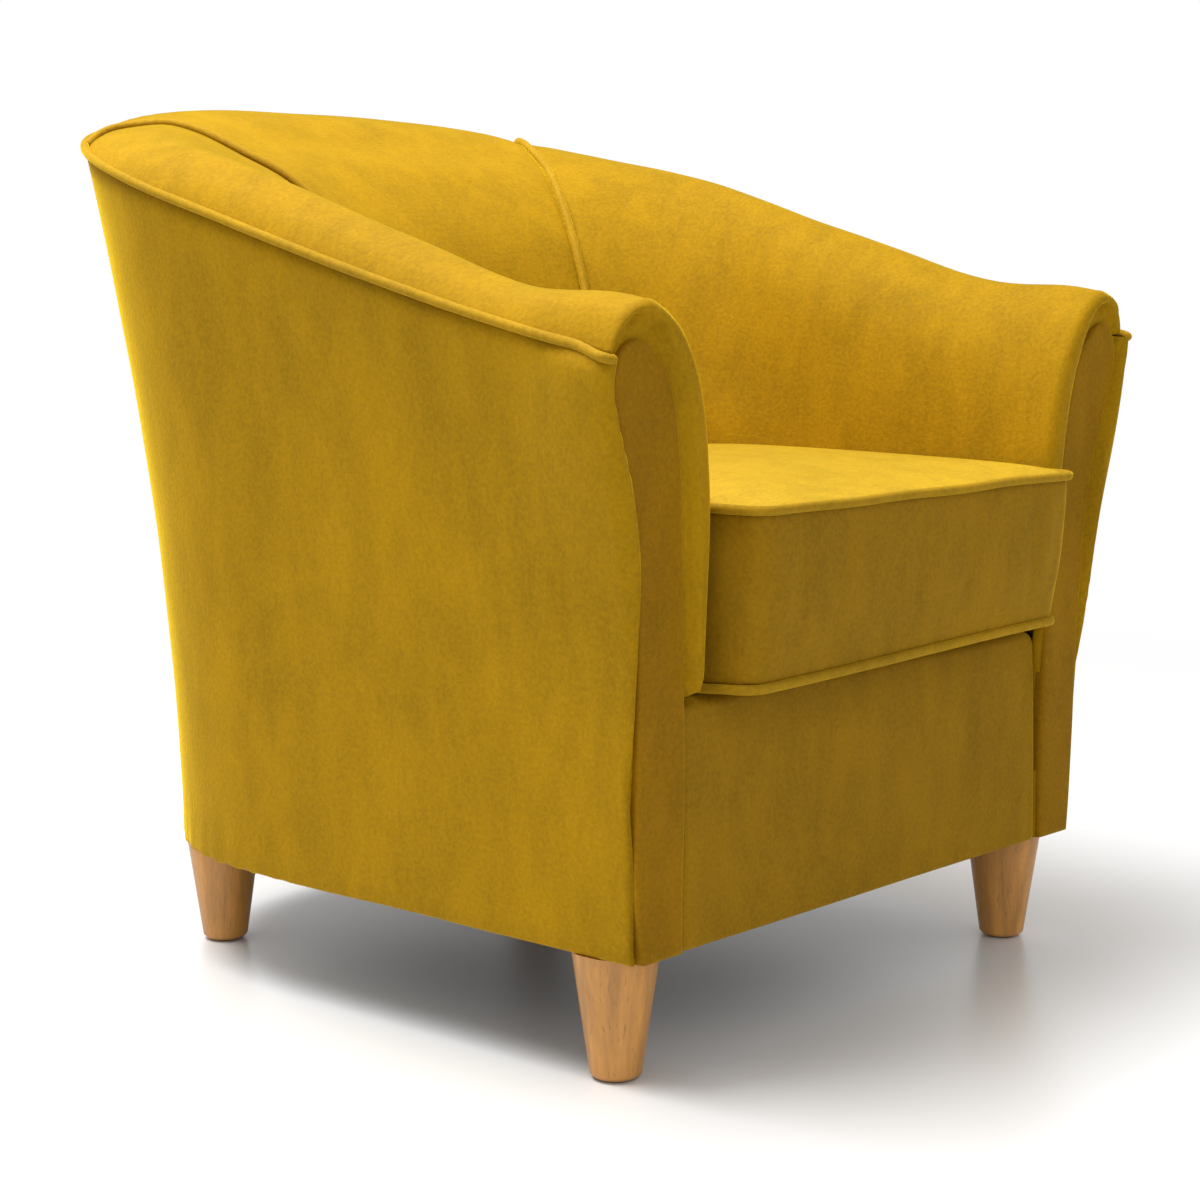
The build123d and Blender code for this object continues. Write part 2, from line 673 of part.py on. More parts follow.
def seam_piping():
    """Piping in the right arm-to-back seam: a little proud of the velvet above the cushion,
    level with it behind the cushion."""
    seam = seam_points()
    seam[0] = seam[0] + (seam[1] - seam[0]) * 0.6
    seam[-1] = seam[-1] + Vector(0, 0, PIPING_R + GAP)
    row = []
    for k, point in enumerate(seam):
        along = seam[min(k + 1, len(seam) - 1)] - seam[max(k - 1, 0)]
        across = Vector(along.Y, -along.X, 0).normalized()
        out = along.cross(across).normalized()
        out = out if out.Z >= 0 else -out
        share = min(max((point.Z - CUSHION_CROWN) / SEAM_SINK, 0.0), 1.0)
        row.append(point + out * between(SEAM_SUNK_PROUD, PIPING_PROUD, share))
    spline = Edge.make_spline(row)
    stops = [k / SEAM_RUNS for k in range(SEAM_RUNS + 1)]
    curve = tangent_corners(spline.position_at, stops)
    return [tube([spline @ 0, *curve, spline @ 1])]


# ================================================================== frame
LAYERS = COVER + LINER + 2 * GAP                      # covers and board outside the frame
PLATE_LOW = BODY_BOTTOM + DUST_COVER + 2 * GAP
PLATE_TOP = PLATE_LOW + PANEL_T
DECK_TOP = WELL_FLOOR - GAP
PAD_TOP = DECK_TOP - DECK_CLOTH - GAP
CROSS_TOP = PAD_TOP - DECK_PAD - GAP
LONG_TOP = CROSS_TOP - STRAP - GAP
RAIL_TOP = LONG_TOP - STRAP - GAP
BOARD_FRONT = FRONT_FACE + FRONT_COVER + FRONT_PAD + 2 * GAP
BOARD_REAR = BOARD_FRONT + FRONT_BOARD
BORDER_TOP = WELL_FLOOR - 2.3
WELL_SIDE = FOAM + STRAP + 2 * GAP                    # from the inside wall to the formers


def base_plates():
    """(front, right, back) plywood plates that carry the legs."""
    low, top = PLATE_LOW - BODY_BOTTOM, PLATE_TOP - BODY_BOTTOM

    def section(cut):
        edge = wall_curve(cut, 0, 0, LAYERS)[0][0]
        inner = edge - cut.pull + BASE_PLATE_W
        return [[(edge, low)], [(inner, low)], [(inner, top)], [(edge, top)]]

    band = keep([wrapped(section)], block(-FAR, FAR, BOARD_FRONT, FAR))
    half = BASE_HALF_WIDTH - LAYERS - BASE_PLATE_W - GAP
    front = [block(-half, half, BOARD_FRONT, BOARD_FRONT + BASE_PLATE_W, PLATE_LOW, PLATE_TOP)]
    joint = base_ring().straight
    right = keep(band, block(0, FAR, -FAR, joint))
    back = keep(band, block(-FAR, FAR, joint, FAR))
    holes = [upright(*LEG_FRONT, TEE_BARREL_R + BOLT_FIT, LOW, HIGH),
             upright(*LEG_REAR, TEE_BARREL_R + BOLT_FIT, LOW, HIGH)]
    holes += mirrored(holes)
    return front, cut_away(right, *holes), cut_away(back, *holes)


def formers():
    """Right-hand upright formers, front to back, with the leaning arm front board first."""
    whole = [wrapped(former_section)]
    well = level_slab(replace(grown(floor_ring(), WELL_SIDE), front=-FAR), LOW, DECK_TOP - LOW)
    whole = cut_away(keep(whole, block(-FAR, FAR, -FAR, FAR, PLATE_TOP)), well)
    lean = ARM_LEAN / (RIM_FRONT_HEIGHT - BODY_BOTTOM)

    def plane_at(behind, z):
        return (ARM_FRONT + behind - lean * (z - BODY_BOTTOM), z)

    slab = across_prism([plane_at(GAP, LOW), plane_at(GAP + PANEL_T, LOW),
                         plane_at(GAP + PANEL_T, HIGH), plane_at(GAP, HIGH)], 0, FAR)
    ribs = [keep(whole, slab)]
    for angle in RIB_ANGLES:
        board = block(0, FAR, -PANEL_T / 2, PANEL_T / 2).rotate(Axis.Z, angle)
        ribs.append(keep(whole, board.moved(Location((0, FAN_Y, 0)))))
    return ribs


def top_rails():
    """(right, back) lengths of the bent top rail."""
    rail = [wrapped(lambda cut: [[p] for p in rail_corners(cut)])]
    return split_behind(rail, TOP_RAIL_JOINT_ANGLE)


def seat_rails():
    """(front, right, back) rails that carry the seat webbing."""
    low = RAIL_TOP - SEAT_RAIL_H
    outside = replace(grown(floor_ring(), WELL_SIDE - GAP), front=BOARD_REAR)
    inside = grown(outside, -SEAT_RAIL_W)
    band = cut_away([level_slab(outside, low, SEAT_RAIL_H)], level_slab(inside, LOW, HIGH))
    front = keep(band, block(-FAR, FAR, -FAR, inside.front))
    rest = keep(band, block(-FAR, FAR, inside.front, FAR))
    right = keep(rest, block(0, FAR, -FAR, outside.straight))
    return front, right, keep(rest, block(-FAR, FAR, outside.straight, FAR))


def evenly(low, high, count):
    return [between(low, high, k / (count - 1)) for k in range(count)]


def seat_straps():
    """(long straps, cross straps) stretched over the seat rails."""
    ring = replace(grown(floor_ring(), WELL_SIDE - 4 * GAP), front=BOARD_REAR + 4 * GAP)
    reach = ring.half - 2 * STRAP_W
    region = level_slab(ring, LOW, HIGH)
    long = [block(x - STRAP_W / 2, x + STRAP_W / 2, -FAR, FAR, LONG_TOP - STRAP, LONG_TOP)
            for x in evenly(-reach, reach, LONG_STRAP_COUNT)]
    cross = [block(-FAR, FAR, y - STRAP_W / 2, y + STRAP_W / 2, CROSS_TOP - STRAP, CROSS_TOP)
             for y in evenly(ring.front + STRAP_W, ring.back - 1.5 * STRAP_W, CROSS_STRAP_COUNT)]
    return keep(long, region), keep(cross, region)


def back_straps():
    layer = [wrapped(lambda cut: [inside_curve(cut, FOAM + GAP, FOAM_SKIP_STEPS),
                                  inside_curve(cut, FOAM + GAP + STRAP, FOAM_SKIP_STEPS)[::-1]])]
    layer = keep(layer, wedge(RIB_ANGLES[1] - 2, 182 - RIB_ANGLES[1]))
    half = BACK_STRAP_W / 2
    return [s for z in BACK_STRAPS
            for s in keep(layer, block(-FAR, FAR, -FAR, FAR, z - half, z + half))]


def front_border():
    """(board, pad, cover) below the front of the cushion."""
    cover_top = BORDER_TOP
    pad_top = cover_top - FRONT_COVER - GAP
    board_top = pad_top - FRONT_PAD - GAP

    def shell(front, top, depth, low, round_r):
        """A layer that runs up the front, round the top edge and back over the board."""
        def bend(radius):
            middle = (front + round_r, top - round_r)
            shares = [(-1.0, 0.0), (-cos(radians(45)), cos(radians(45))), (0.0, 1.0)]
            return Edge.make_three_point_arc(*(
                Vector(-FRONT_HALF_WIDTH, middle[0] + radius * y, middle[1] + radius * z)
                for y, z in shares))

        outer, inner = bend(round_r), bend(round_r - depth)
        x = -FRONT_HALF_WIDTH
        loop = [outer @ 1, Vector(x, BOARD_REAR, top), Vector(x, BOARD_REAR, top - depth),
                inner @ 1]
        leg_loop = [inner @ 0, Vector(x, front + depth, low), Vector(x, front, low), outer @ 0]
        edges = [outer, inner]
        edges += [Edge.make_line(p, q) for p, q in zip(loop, loop[1:])]
        edges += [Edge.make_line(p, q) for p, q in zip(leg_loop, leg_loop[1:])]
        return [Solid.extrude(Face(Wire(edges)), Vector(2 * FRONT_HALF_WIDTH, 0, 0))]

    cover = shell(FRONT_FACE, cover_top, FRONT_COVER, BODY_BOTTOM + GAP, FRONT_ROUND)
    pad = shell(FRONT_FACE + FRONT_COVER + GAP, pad_top, FRONT_PAD, PLATE_LOW,
                FRONT_ROUND - FRONT_COVER)
    half = floor_ring().half + WELL_SIDE - GAP
    board = [block(-half, half, BOARD_FRONT, BOARD_REAR, PLATE_TOP, board_top)]
    return board, pad, cover


def seat_deck():
    """(pad, cloth) under the cushion."""
    ring = replace(grown(floor_ring(), WELL_SIDE - 3 * GAP), front=BOARD_REAR + GAP)
    return ([level_slab(ring, PAD_TOP - DECK_PAD, DECK_PAD)],
            [level_slab(ring, DECK_TOP - DECK_CLOTH, DECK_CLOTH)])


def dust_cover():
    ring = grown(base_ring(), -LAYERS - DUST_COVER_IN)
    ring = replace(ring, front=BOARD_FRONT + DUST_COVER_IN)
    sheet = [level_slab(ring, BODY_BOTTOM + GAP, DUST_COVER)]
    holes = [upright(x, y, DUST_COVER_HOLE, LOW, HIGH) for x, y in leg_centres()]
    return cut_away(sheet, *holes)


# ================================================================== legs
def leg_centres():
    return [LEG_FRONT, (-LEG_FRONT[0], LEG_FRONT[1]), LEG_REAR, (-LEG_REAR[0], LEG_REAR[1])]


def leg(x, y):
    """Turned tapered leg with a bore for its hanger bolt."""
    top, low = BODY_BOTTOM - GAP, GLIDE_T
    outline = [Vector(0, 0, low), Vector(LEG_FOOT_R - LEG_FOOT_ROUND, 0, low),
               Vector(LEG_FOOT_R, 0, low + LEG_FOOT_ROUND), Vector(LEG_TOP_R, 0, top),
               Vector(0, 0, top)]
    turned = Solid.revolve(Face(Wire.make_polygon(outline)), 360, Axis.Z)
    bore = upright(0, 0, BOLT_R + BOLT_FIT, top - BOLT_IN_LEG - BOLT_FIT, top + 1)
    return [s.moved(Location((x, y, 0))) for s in cut_away([turned], bore)]


def leg_fittings():
    """(glides, hanger bolts, tee nuts), one of each for every leg."""
    glides, bolts, nuts = [], [], []
    for x, y in leg_centres():
        glides.append(upright(x, y, GLIDE_R, 0, GLIDE_T))
        bolts.append(upright(x, y, BOLT_R, BODY_BOTTOM - BOLT_IN_LEG, PLATE_TOP + BOLT_ABOVE_PLATE))
        nut = upright(x, y, TEE_BARREL_R, PLATE_TOP - TEE_BARREL_L, PLATE_TOP)
        nut = nut.fuse(upright(x, y, TEE_FLANGE_R, PLATE_TOP, PLATE_TOP + TEE_FLANGE_T))
        nuts += solids_in(nut - upright(x, y, BOLT_R + BOLT_FIT, LOW, HIGH))
    return glides, bolts, nuts


# ================================================================== seat cushion
def cushion_ring(inset):
    return Ring(CUSHION_HALF - inset, CUSHION_FRONT + inset, CUSHION_STRAIGHT,
                CUSHION_BACK - inset, 2.0, 0.0, 0.0)


def cushion_front(z, inset):
    up = min((z - CUSHION_LOW) / (CUSHION_EDGE - CUSHION_LOW), 1.0)
    return between(CUSHION_FRONT_LOW, CUSHION_FRONT, up) + inset


def cushion_wire(inset, z, inwards=0.0):
    """Outline of the cushion at a height, set in by a layer's depth and, up the crown, by
    more: its front leans in towards the bottom piping and its corners get rounder."""
    ring = replace(cushion_ring(inset + inwards), front=cushion_front(z, inset + inwards))
    wire = level_wire(ring, z, CUSHION_FRONT_HALF - inset - inwards)
    corners = [v for v in wire.vertices() if v.Y < ring.front + 1]
    return wire.fillet_2d(CUSHION_CORNER - inset + CROWN_SOFTNESS * inwards, corners)


def cushion_box(inset):
    return Solid.make_loft([cushion_wire(inset, CUSHION_LOW), cushion_wire(inset, CUSHION_EDGE)])


def cushion_crown(inset, under, slack=0.0):
    """The domed top above the top piping: its flat middle lies this far under the finished
    crown, and its slopes are set in by some slack."""
    rise = CUSHION_CROWN - CUSHION_EDGE - under
    wires = [cushion_wire(inset, CUSHION_EDGE)]
    wires += [cushion_wire(inset, CUSHION_EDGE + rise * up, CUSHION_HALF * share + slack)
              for share, up in CROWN_STEPS]
    return Solid.make_loft(wires, ruled=True)


def cushion():
    """(core, top panel, bottom panel, border) of the cushion."""
    inset = CUSHION_COVER + 2 * GAP
    core = keep(joined(cushion_box(inset), cushion_crown(inset, CUSHION_COVER, CORE_SLACK)),
                block(-FAR, FAR, -FAR, FAR, CUSHION_LOW + inset))
    top = cut_away([cushion_crown(0.0, 0.0)], cushion_crown(CUSHION_COVER, CUSHION_COVER))
    edge = PIPING_R + 2 * GAP - TOP_PIPING_PROUD
    lid = Solid.extrude(Face(cushion_wire(edge, CUSHION_EDGE)), Vector(0, 0, HIGH))
    edge = PIPING_R + 2 * GAP - BOTTOM_PIPING_PROUD
    base = Face(cushion_wire(edge, CUSHION_LOW))
    bottom = [Solid.extrude(base, Vector(0, 0, CUSHION_COVER))]
    border = cut_away([cushion_box(0.0)], cushion_box(CUSHION_COVER))
    low, high = CUSHION_LOW + 2 * (PIPING_R + GAP), CUSHION_EDGE - PIPING_R - GAP
    border = keep(border, block(-FAR, FAR, -FAR, FAR, low, high))
    return core, keep(top, lid), bottom, border


def cushion_piping(z, proud):
    ring = cushion_ring(-proud)
    right, left = CUSHION_FRONT_HALF + proud, -CUSHION_FRONT_HALF - proud
    front = cushion_front(z, -proud)
    curve = tangent_corners(ring.round_point, range(0, 181, PIPING_STEP))
    curve = [Vector(p.X, p.Y, z) for p in curve]
    points = [Vector(right, front, z), Vector(ring.half, ring.straight, z), *curve,
              Vector(-ring.half, ring.straight, z), Vector(left, front, z)]
    return [tube(points, closed=True, corner=CUSHION_CORNER)]


# ================================================================== zip of the cushion
ZIP_R = CUSHION_HALF ** 2 / (CUSHION_BACK - CUSHION_STRAIGHT)    # the back edge's curve
ZIP_CENTRE = CUSHION_BACK - ZIP_R


def zip_band(near, far, low, high, start, end):
    """Curved plate behind the cushion between two radii and two plan angles."""
    ring = upright(0, ZIP_CENTRE, ZIP_R + far, low, high)
    ring = ring - upright(0, ZIP_CENTRE, ZIP_R + near, LOW, HIGH)
    a, b = radians(90 + start), radians(90 + end)
    corners = [(0, ZIP_CENTRE), (FAR * cos(a), ZIP_CENTRE + FAR * sin(a)),
               (0, ZIP_CENTRE + 2 * FAR), (FAR * cos(b), ZIP_CENTRE + FAR * sin(b))]
    return keep(solids_in(ring), prism(corners))


def zip_parts():
    """(tape with its teeth, slider) across the back of the border; the slider starts on the
    right."""
    half = ZIP_ANGLE / 2
    end = half + ZIP_END
    near = 2 * GAP + ZIP_TAPE_T
    tape = zip_band(2 * GAP, near, ZIP_HEIGHT - ZIP_TAPE_W / 2, ZIP_HEIGHT + ZIP_TAPE_W / 2,
                    -end, end)
    teeth = zip_band(near, near + ZIP_TEETH_T, ZIP_HEIGHT - ZIP_TEETH_W / 2,
                     ZIP_HEIGHT + ZIP_TEETH_W / 2, -end, end)
    near += ZIP_TEETH_T + GAP
    size = degrees(SLIDER_L / ZIP_R)
    body = zip_band(near, near + SLIDER_T, ZIP_HEIGHT - SLIDER_H / 2, ZIP_HEIGHT + SLIDER_H / 2,
                    -half - size / 2, -half + size / 2)
    pull = zip_band(near, near + SLIDER_T, ZIP_HEIGHT - SLIDER_H / 2 - PULL_L,
                    ZIP_HEIGHT - SLIDER_H / 2, -half - size / 4, -half + size / 4)
    return joined(tape[0], teeth[0]), joined(body[0], pull[0])


# ================================================================== all pieces
def build():
    """Every piece by name, each a list of solids."""
    pieces = {}

    def pair(name, right):
        pieces[name + "_right"] = right
        pieces[name + "_left"] = mirrored(right)

    for name, (x, y) in zip(("front_right", "front_left", "rear_right", "rear_left"),
                            leg_centres()):
        pieces["leg_" + name] = leg(x, y)
    pieces["leg_glides"], pieces["leg_hanger_bolts"], pieces["leg_tee_nuts"] = leg_fittings()
    pieces["dust_cover"] = dust_cover()

    pieces["base_plate_front"], right, pieces["base_plate_back"] = base_plates()
    pair("base_plate", right)
    boards = formers()
    pair("arm_front_board", boards[0])
    pair("arm_former", boards[1])
    pair("corner_former", boards[2])
    pair("back_former", boards[3])
    right, pieces["top_rail_back"] = top_rails()
    pair("top_rail", right)
    pieces["seat_rail_front"], right, pieces["seat_rail_back"] = seat_rails()
    pair("seat_rail", right)
    pieces["seat_straps_long"], pieces["seat_straps_cross"] = seat_straps()
    pieces["back_straps"] = back_straps()
    pieces["front_board"], pieces["front_border_pad"], pieces["front_border"] = front_border()
    pieces["seat_deck_pad"], pieces["seat_deck"] = seat_deck()

    right, pieces["outside_back_board"] = split_behind(
        skin_layer(outside_curve, COVER + GAP, COVER + GAP + LINER), OUTSIDE_SEAM_ANGLE)
    pair("outside_arm_board", right)
    right, pieces["outside_back"] = split_behind(
        skin_layer(outside_curve, 0, COVER), OUTSIDE_SEAM_ANGLE)
    pair("outside_arm", joined(right[0], arm_cap(inside=False)))
    right, pieces["back_foam"] = split_at_seams([wrapped(foam_section)], 2 * GAP)
    pair("arm_foam", right)
    right, pieces["inside_back"] = split_at_seams(skin_layer(inside_curve, 0, COVER), GROOVE)
    pair("inside_arm", joined(right[0], arm_cap(inside=True)))
    pair("arm_facing", facing())
    pieces["rim_piping"] = rim_piping()
    pair("seam_piping", seam_piping())

    pieces["cushion_core"], top, bottom, border = cushion()
    pieces["cushion_top"], pieces["cushion_bottom"], pieces["cushion_border"] = top, bottom, border
    pieces["cushion_piping_top"] = cushion_piping(CUSHION_EDGE, TOP_PIPING_PROUD)
    low = CUSHION_LOW + PIPING_R + GAP
    pieces["cushion_piping_bottom"] = cushion_piping(low, BOTTOM_PIPING_PROUD)
    pieces["zip_tape"], pieces["zip_slider"] = zip_parts()
    return pieces


def write(pieces):
    """Shift the origin to the middle of the footprint and write one file per piece."""
    os.makedirs("parts", exist_ok=True)
    front = CUSHION_FRONT - TOP_PIPING_PROUD - PIPING_R
    back = RIM_BACK + PIPING_PROUD + PIPING_R
    shift = Location((0, -(front + back) / 2, 0))
    for name, solids in pieces.items():
        moved = [s.moved(shift) for s in solids]
        whole = moved[0] if len(moved) == 1 else Compound(children=moved)
        export_step(whole, f"parts/{name}.step")


write(build())
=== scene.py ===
"""Looks of an upholstered tub chair, built round its packed frame.

Lengths are in metres. Y is counted from the datum under the seat until a piece is placed."""

import math
from dataclasses import dataclass, fields, replace

import bmesh
import bpy
import numpy as np
from bpy.props import FloatProperty, FloatVectorProperty, PointerProperty
from mathutils import Euler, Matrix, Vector


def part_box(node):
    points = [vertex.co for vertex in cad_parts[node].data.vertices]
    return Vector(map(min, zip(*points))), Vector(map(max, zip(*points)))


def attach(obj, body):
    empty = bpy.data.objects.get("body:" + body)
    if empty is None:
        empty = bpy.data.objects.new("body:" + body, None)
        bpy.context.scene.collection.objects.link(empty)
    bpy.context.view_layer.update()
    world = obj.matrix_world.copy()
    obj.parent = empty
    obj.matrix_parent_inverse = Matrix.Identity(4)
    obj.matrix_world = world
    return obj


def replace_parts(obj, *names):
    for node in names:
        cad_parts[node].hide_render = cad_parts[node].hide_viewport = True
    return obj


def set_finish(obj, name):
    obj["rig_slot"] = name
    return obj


bl_info = {
    "name": "Tub Chair",
    "version": (1, 0, 0),
    "blender": (4, 5, 0),
    "location": "View3D > Sidebar > Tub Chair",
    "description": "Builds a velvet tub chair, piece by piece, round its frame",
    "category": "Add Mesh",
}

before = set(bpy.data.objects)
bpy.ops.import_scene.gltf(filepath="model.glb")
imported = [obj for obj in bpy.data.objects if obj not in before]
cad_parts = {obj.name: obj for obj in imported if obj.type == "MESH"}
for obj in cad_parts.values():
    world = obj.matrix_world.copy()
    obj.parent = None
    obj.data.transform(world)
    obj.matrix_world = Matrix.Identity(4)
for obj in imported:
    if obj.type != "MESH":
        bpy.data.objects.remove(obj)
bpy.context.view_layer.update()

# ------------------------------------------------------------------ outside form
BODY_BOTTOM = 0.107
BASE_HALF_WIDTH = 0.322
BASE_BACK = 0.459
BASE_ROUND = 0.307
RIM_HALF_WIDTH = 0.371
RIM_BACK = 0.540
RIM_ROUND = 0.341
RIM_FRONT_HEIGHT = 0.584
RIM_BACK_HEIGHT = 0.787
ARM_FRONT = -0.237
OUTLINE_POWER = 2.6
FLARE_POWER = 1.75
PIPING_R = 0.004
PIPING_PROUD = 0.002
OUTSIDE_SEAM_ANGLE = 60.0
FAN_CENTRE = 0.030                   # y that the seams and marks of the outside fan out from
PLAN_MIDDLE = np.array((0.0, 0.02, 0.0))
TUCK_DEPTH = 0.010                   # how far the edges of a skin go in, past its seam

# ------------------------------------------------------------------ roll and inside form
ROLL_RISE = 0.035
# Rows over the roll from the rim, 0, to the ridge, 1: (inwards, upwards).
ROLL_STEPS = ((0.035, 0.12), (0.13, 0.37), (0.31, 0.69), (0.6, 0.89))
RIDGE_IN_SIDE = 0.042
RIDGE_IN_BACK = 0.093
RIDGE_STRAIGHT_IN = 0.049
RIDGE_POWER = 2.9
WELL_IN_SIDE = 0.124
WELL_IN_BACK = 0.366
WELL_STRAIGHT_IN = 0.167
WELL_POWER = 2.0
WELL_FLOOR = 0.3103
# Rows down the inside from the ridge, 0, to the floor, 1: (height, side, back, straight).
INSIDE_STEPS = (
    (0.023, 0.244, 0.154, 0.153),
    (0.058, 0.451, 0.271, 0.297),
    (0.099, 0.610, 0.396, 0.381),
    (0.168, 0.768, 0.542, 0.492),
    (0.242, 0.872, 0.663, 0.593),
    (0.352, 0.951, 0.780, 0.712),
    (0.515, 1.000, 0.890, 0.847),
    (0.630, 1.000, 0.949, 0.949),
    (0.800, 1.000, 0.986, 0.986),
)
SEAM_ANGLE_RIM = 36.0
SEAM_ANGLE = 46.0
ROLL_ROWS = 5                        # rows of rings from the rim to the ridge

# Hand-made unevenness: (y, rise) of the rim and of the roll's ridge against straight lines.
RIM_RISE = ((-0.285, 0.0035), (-0.272, 0.0075), (-0.262, 0.0075), (-0.242, 0.0080),
            (-0.222, 0.0063), (-0.180, 0.0030), (-0.080, -0.0005), (0.020, -0.0019),
            (0.120, -0.0015), (0.250, 0.0), (0.430, 0.0008), (0.545, 0.0008))
RIDGE_RISE = ((-0.275, 0.015), (-0.240, 0.011), (-0.205, 0.003), (-0.160, -0.007),
              (-0.060, -0.007), (0.060, -0.002), (0.200, 0.002), (0.400, -0.002),
              (0.470, 0.006))

# ------------------------------------------------------------------ front of the arms
# The arm's padded front edge: (its radius, how far it stands ahead of the facing).
OUTER_EDGE = (0.014, 0.0095)         # outside the arm
INNER_EDGE = (0.012, 0.0070)         # inside the arm and round the roll
SEAM_WIDTH = 0.009                   # it dips to the facing's seam over this width
SEAM_DEPTH = 0.005                   # the seam lies this far behind the facing's face
# Fullness of the outside below the piping's end: depth, and where it starts and ends.
PUFF_DEPTH = 0.012
PUFF_RISING, PUFF_FALLING = (0.370, 0.520), (0.588, 0.568)
PUFF_FROM, PUFF_TO = -0.150, -0.245
# The leaning face of the facing: (height, y).
FACE_LINE = ((0.107, -0.2560), (0.160, -0.2555), (0.204, -0.2562), (0.280, -0.2572),
             (0.430, -0.2616), (0.480, -0.2637), (0.560, -0.2672), (0.620, -0.2695))
# Outline of the right facing, (x, z) up its inner side, over the tip and down the outer side.
FACING_OUTLINE = (
    (0.2660, 0.1085), (0.2652, 0.160), (0.2645, 0.226), (0.2655, 0.285), (0.2690, 0.352),
    (0.2737, 0.430), (0.2778, 0.475), (0.2812, 0.503), (0.2844, 0.526), (0.2885, 0.543),
    (0.2945, 0.558), (0.3035, 0.572), (0.3155, 0.5855), (0.3270, 0.5930), (0.3400, 0.5960),
    (0.3525, 0.5905), (0.3595, 0.5820), (0.3632, 0.5710), (0.3640, 0.5590), (0.3615, 0.543),
    (0.3568, 0.527), (0.3505, 0.510), (0.3435, 0.493), (0.3380, 0.476), (0.3325, 0.455),
    (0.3288, 0.430), (0.3255, 0.350), (0.3232, 0.280), (0.3232, 0.200), (0.3215, 0.150),
    (0.3165, 0.1085))
BORDER_HALF = 0.2650                 # half the width between the arm fronts
TUCK_HEIGHT = 0.334                  # below this the inside arm tucks out to the facing
TUCK = 0.018

# ------------------------------------------------------------------ front border
BORDER_FRONT = -0.2470
BORDER_FRONT_LOW = -0.2525
BORDER_TOP = 0.308
BORDER_BACK = -0.2189
BORDER_ROUND = 0.009

# ------------------------------------------------------------------ seat cushion
CUSHION_LOW = 0.3103
CUSHION_EDGE = 0.461
CUSHION_CROWN = 0.480
CUSHION_HALF = 0.2405
CUSHION_FRONT_HALF = 0.229
CUSHION_FRONT = -0.306
CUSHION_FRONT_LOW = -0.291
CUSHION_STRAIGHT = 0.020
CUSHION_BACK = 0.166
CUSHION_CORNER = 0.018
CUSHION_MIDDLE = -0.070
TOP_PIPING_PROUD = 0.0015
BOTTOM_PIPING_PROUD = 0.0005

# ------------------------------------------------------------------ camera and stage
CAMERA_PLACE = (-1.736668, -1.467886, 0.650759)
CAMERA_PITCH = -0.135284846
CAMERA_TURN = -0.846493814
CAMERA_LENS = 74.066
SENSOR = 36.0

DATUM_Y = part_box("rim_piping")[1].y - RIM_BACK - PIPING_PROUD - PIPING_R


# ================================================================== form of the walls
@dataclass
class Ring:
    """Outline of the wall at one level: straight sides and a rounded back, in a plane that
    may rise towards the back."""
    half: float
    straight: float
    back: float
    power: float
    z_front: float
    z_back: float

    def slope(self):
        return (self.z_back - self.z_front) / (self.back - ARM_FRONT)

    def at(self, x, y):
        return np.array((x, y, self.z_front + self.slope() * (y - ARM_FRONT)))

    def side(self, share, edge):
        """Point of the straight side, from the padded edge of the arm front to where it rounds."""
        radius, proud = edge
        start = ARM_FRONT
        for _ in range(5):
            start = float(face_y(self.at(self.half, start)[2])) - proud + radius
        return self.at(self.half, start + (self.straight - start) * share)

    def round_point(self, angle):
        """Point of the rounded back at a plan angle about its own centre."""
        c, s = math.cos(math.radians(angle)), math.sin(math.radians(angle))
        depth = self.back - self.straight
        reach = abs(c / self.half) ** self.power + abs(s / depth) ** self.power
        reach = reach ** (-1 / self.power)
        return self.at(reach * c, self.straight + reach * s)

    def angle_at_fan(self, angle):
        """Plan angle about the ring's own centre of the point on an upright fan cut."""
        low, high = 0.0, 90.0
        for _ in range(30):
            middle = (low + high) / 2
            p = self.round_point(middle)
            if math.degrees(math.atan2(p[1] - FAN_CENTRE, p[0])) > angle:
                high = middle
            else:
                low = middle
        return low


NAMES = [f.name for f in fields(Ring)]


def between(low, high, share):
    return low + (high - low) * share


def smooth(low, high, value):
    """0 at low, 1 at high, an easy curve between, level beyond them."""
    t = np.clip((value - low) / (high - low), 0.0, 1.0)
    return t * t * (3 - 2 * t)


def mix(a, b, share):
    return Ring(*(between(getattr(a, n), getattr(b, n), share) for n in NAMES))


def rim_slope():
    return (RIM_BACK_HEIGHT - RIM_FRONT_HEIGHT) / (RIM_BACK - ARM_FRONT)


def rim_ring():
    return Ring(RIM_HALF_WIDTH, RIM_BACK - RIM_ROUND, RIM_BACK, OUTLINE_POWER,
                RIM_FRONT_HEIGHT, RIM_BACK_HEIGHT)


def base_ring():
    return Ring(BASE_HALF_WIDTH, BASE_BACK - BASE_ROUND, BASE_BACK, OUTLINE_POWER,
                BODY_BOTTOM, BODY_BOTTOM)


def wall_ring(share):
    flared = mix(base_ring(), rim_ring(), share ** FLARE_POWER)
    level = mix(base_ring(), rim_ring(), share)
    return replace(flared, z_front=level.z_front, z_back=level.z_back)


def ridge_ring():
    back = RIM_BACK - RIDGE_IN_BACK
    height = RIM_FRONT_HEIGHT + rim_slope() * (back - ARM_FRONT) + ROLL_RISE
    return Ring(RIM_HALF_WIDTH - RIDGE_IN_SIDE, RIM_BACK - RIM_ROUND - RIDGE_STRAIGHT_IN,
                back, RIDGE_POWER, RIM_FRONT_HEIGHT + ROLL_RISE, height)


def floor_ring():
    return Ring(RIM_HALF_WIDTH - WELL_IN_SIDE, RIM_BACK - RIM_ROUND - WELL_STRAIGHT_IN,
                RIM_BACK - WELL_IN_BACK, WELL_POWER, WELL_FLOOR, WELL_FLOOR)


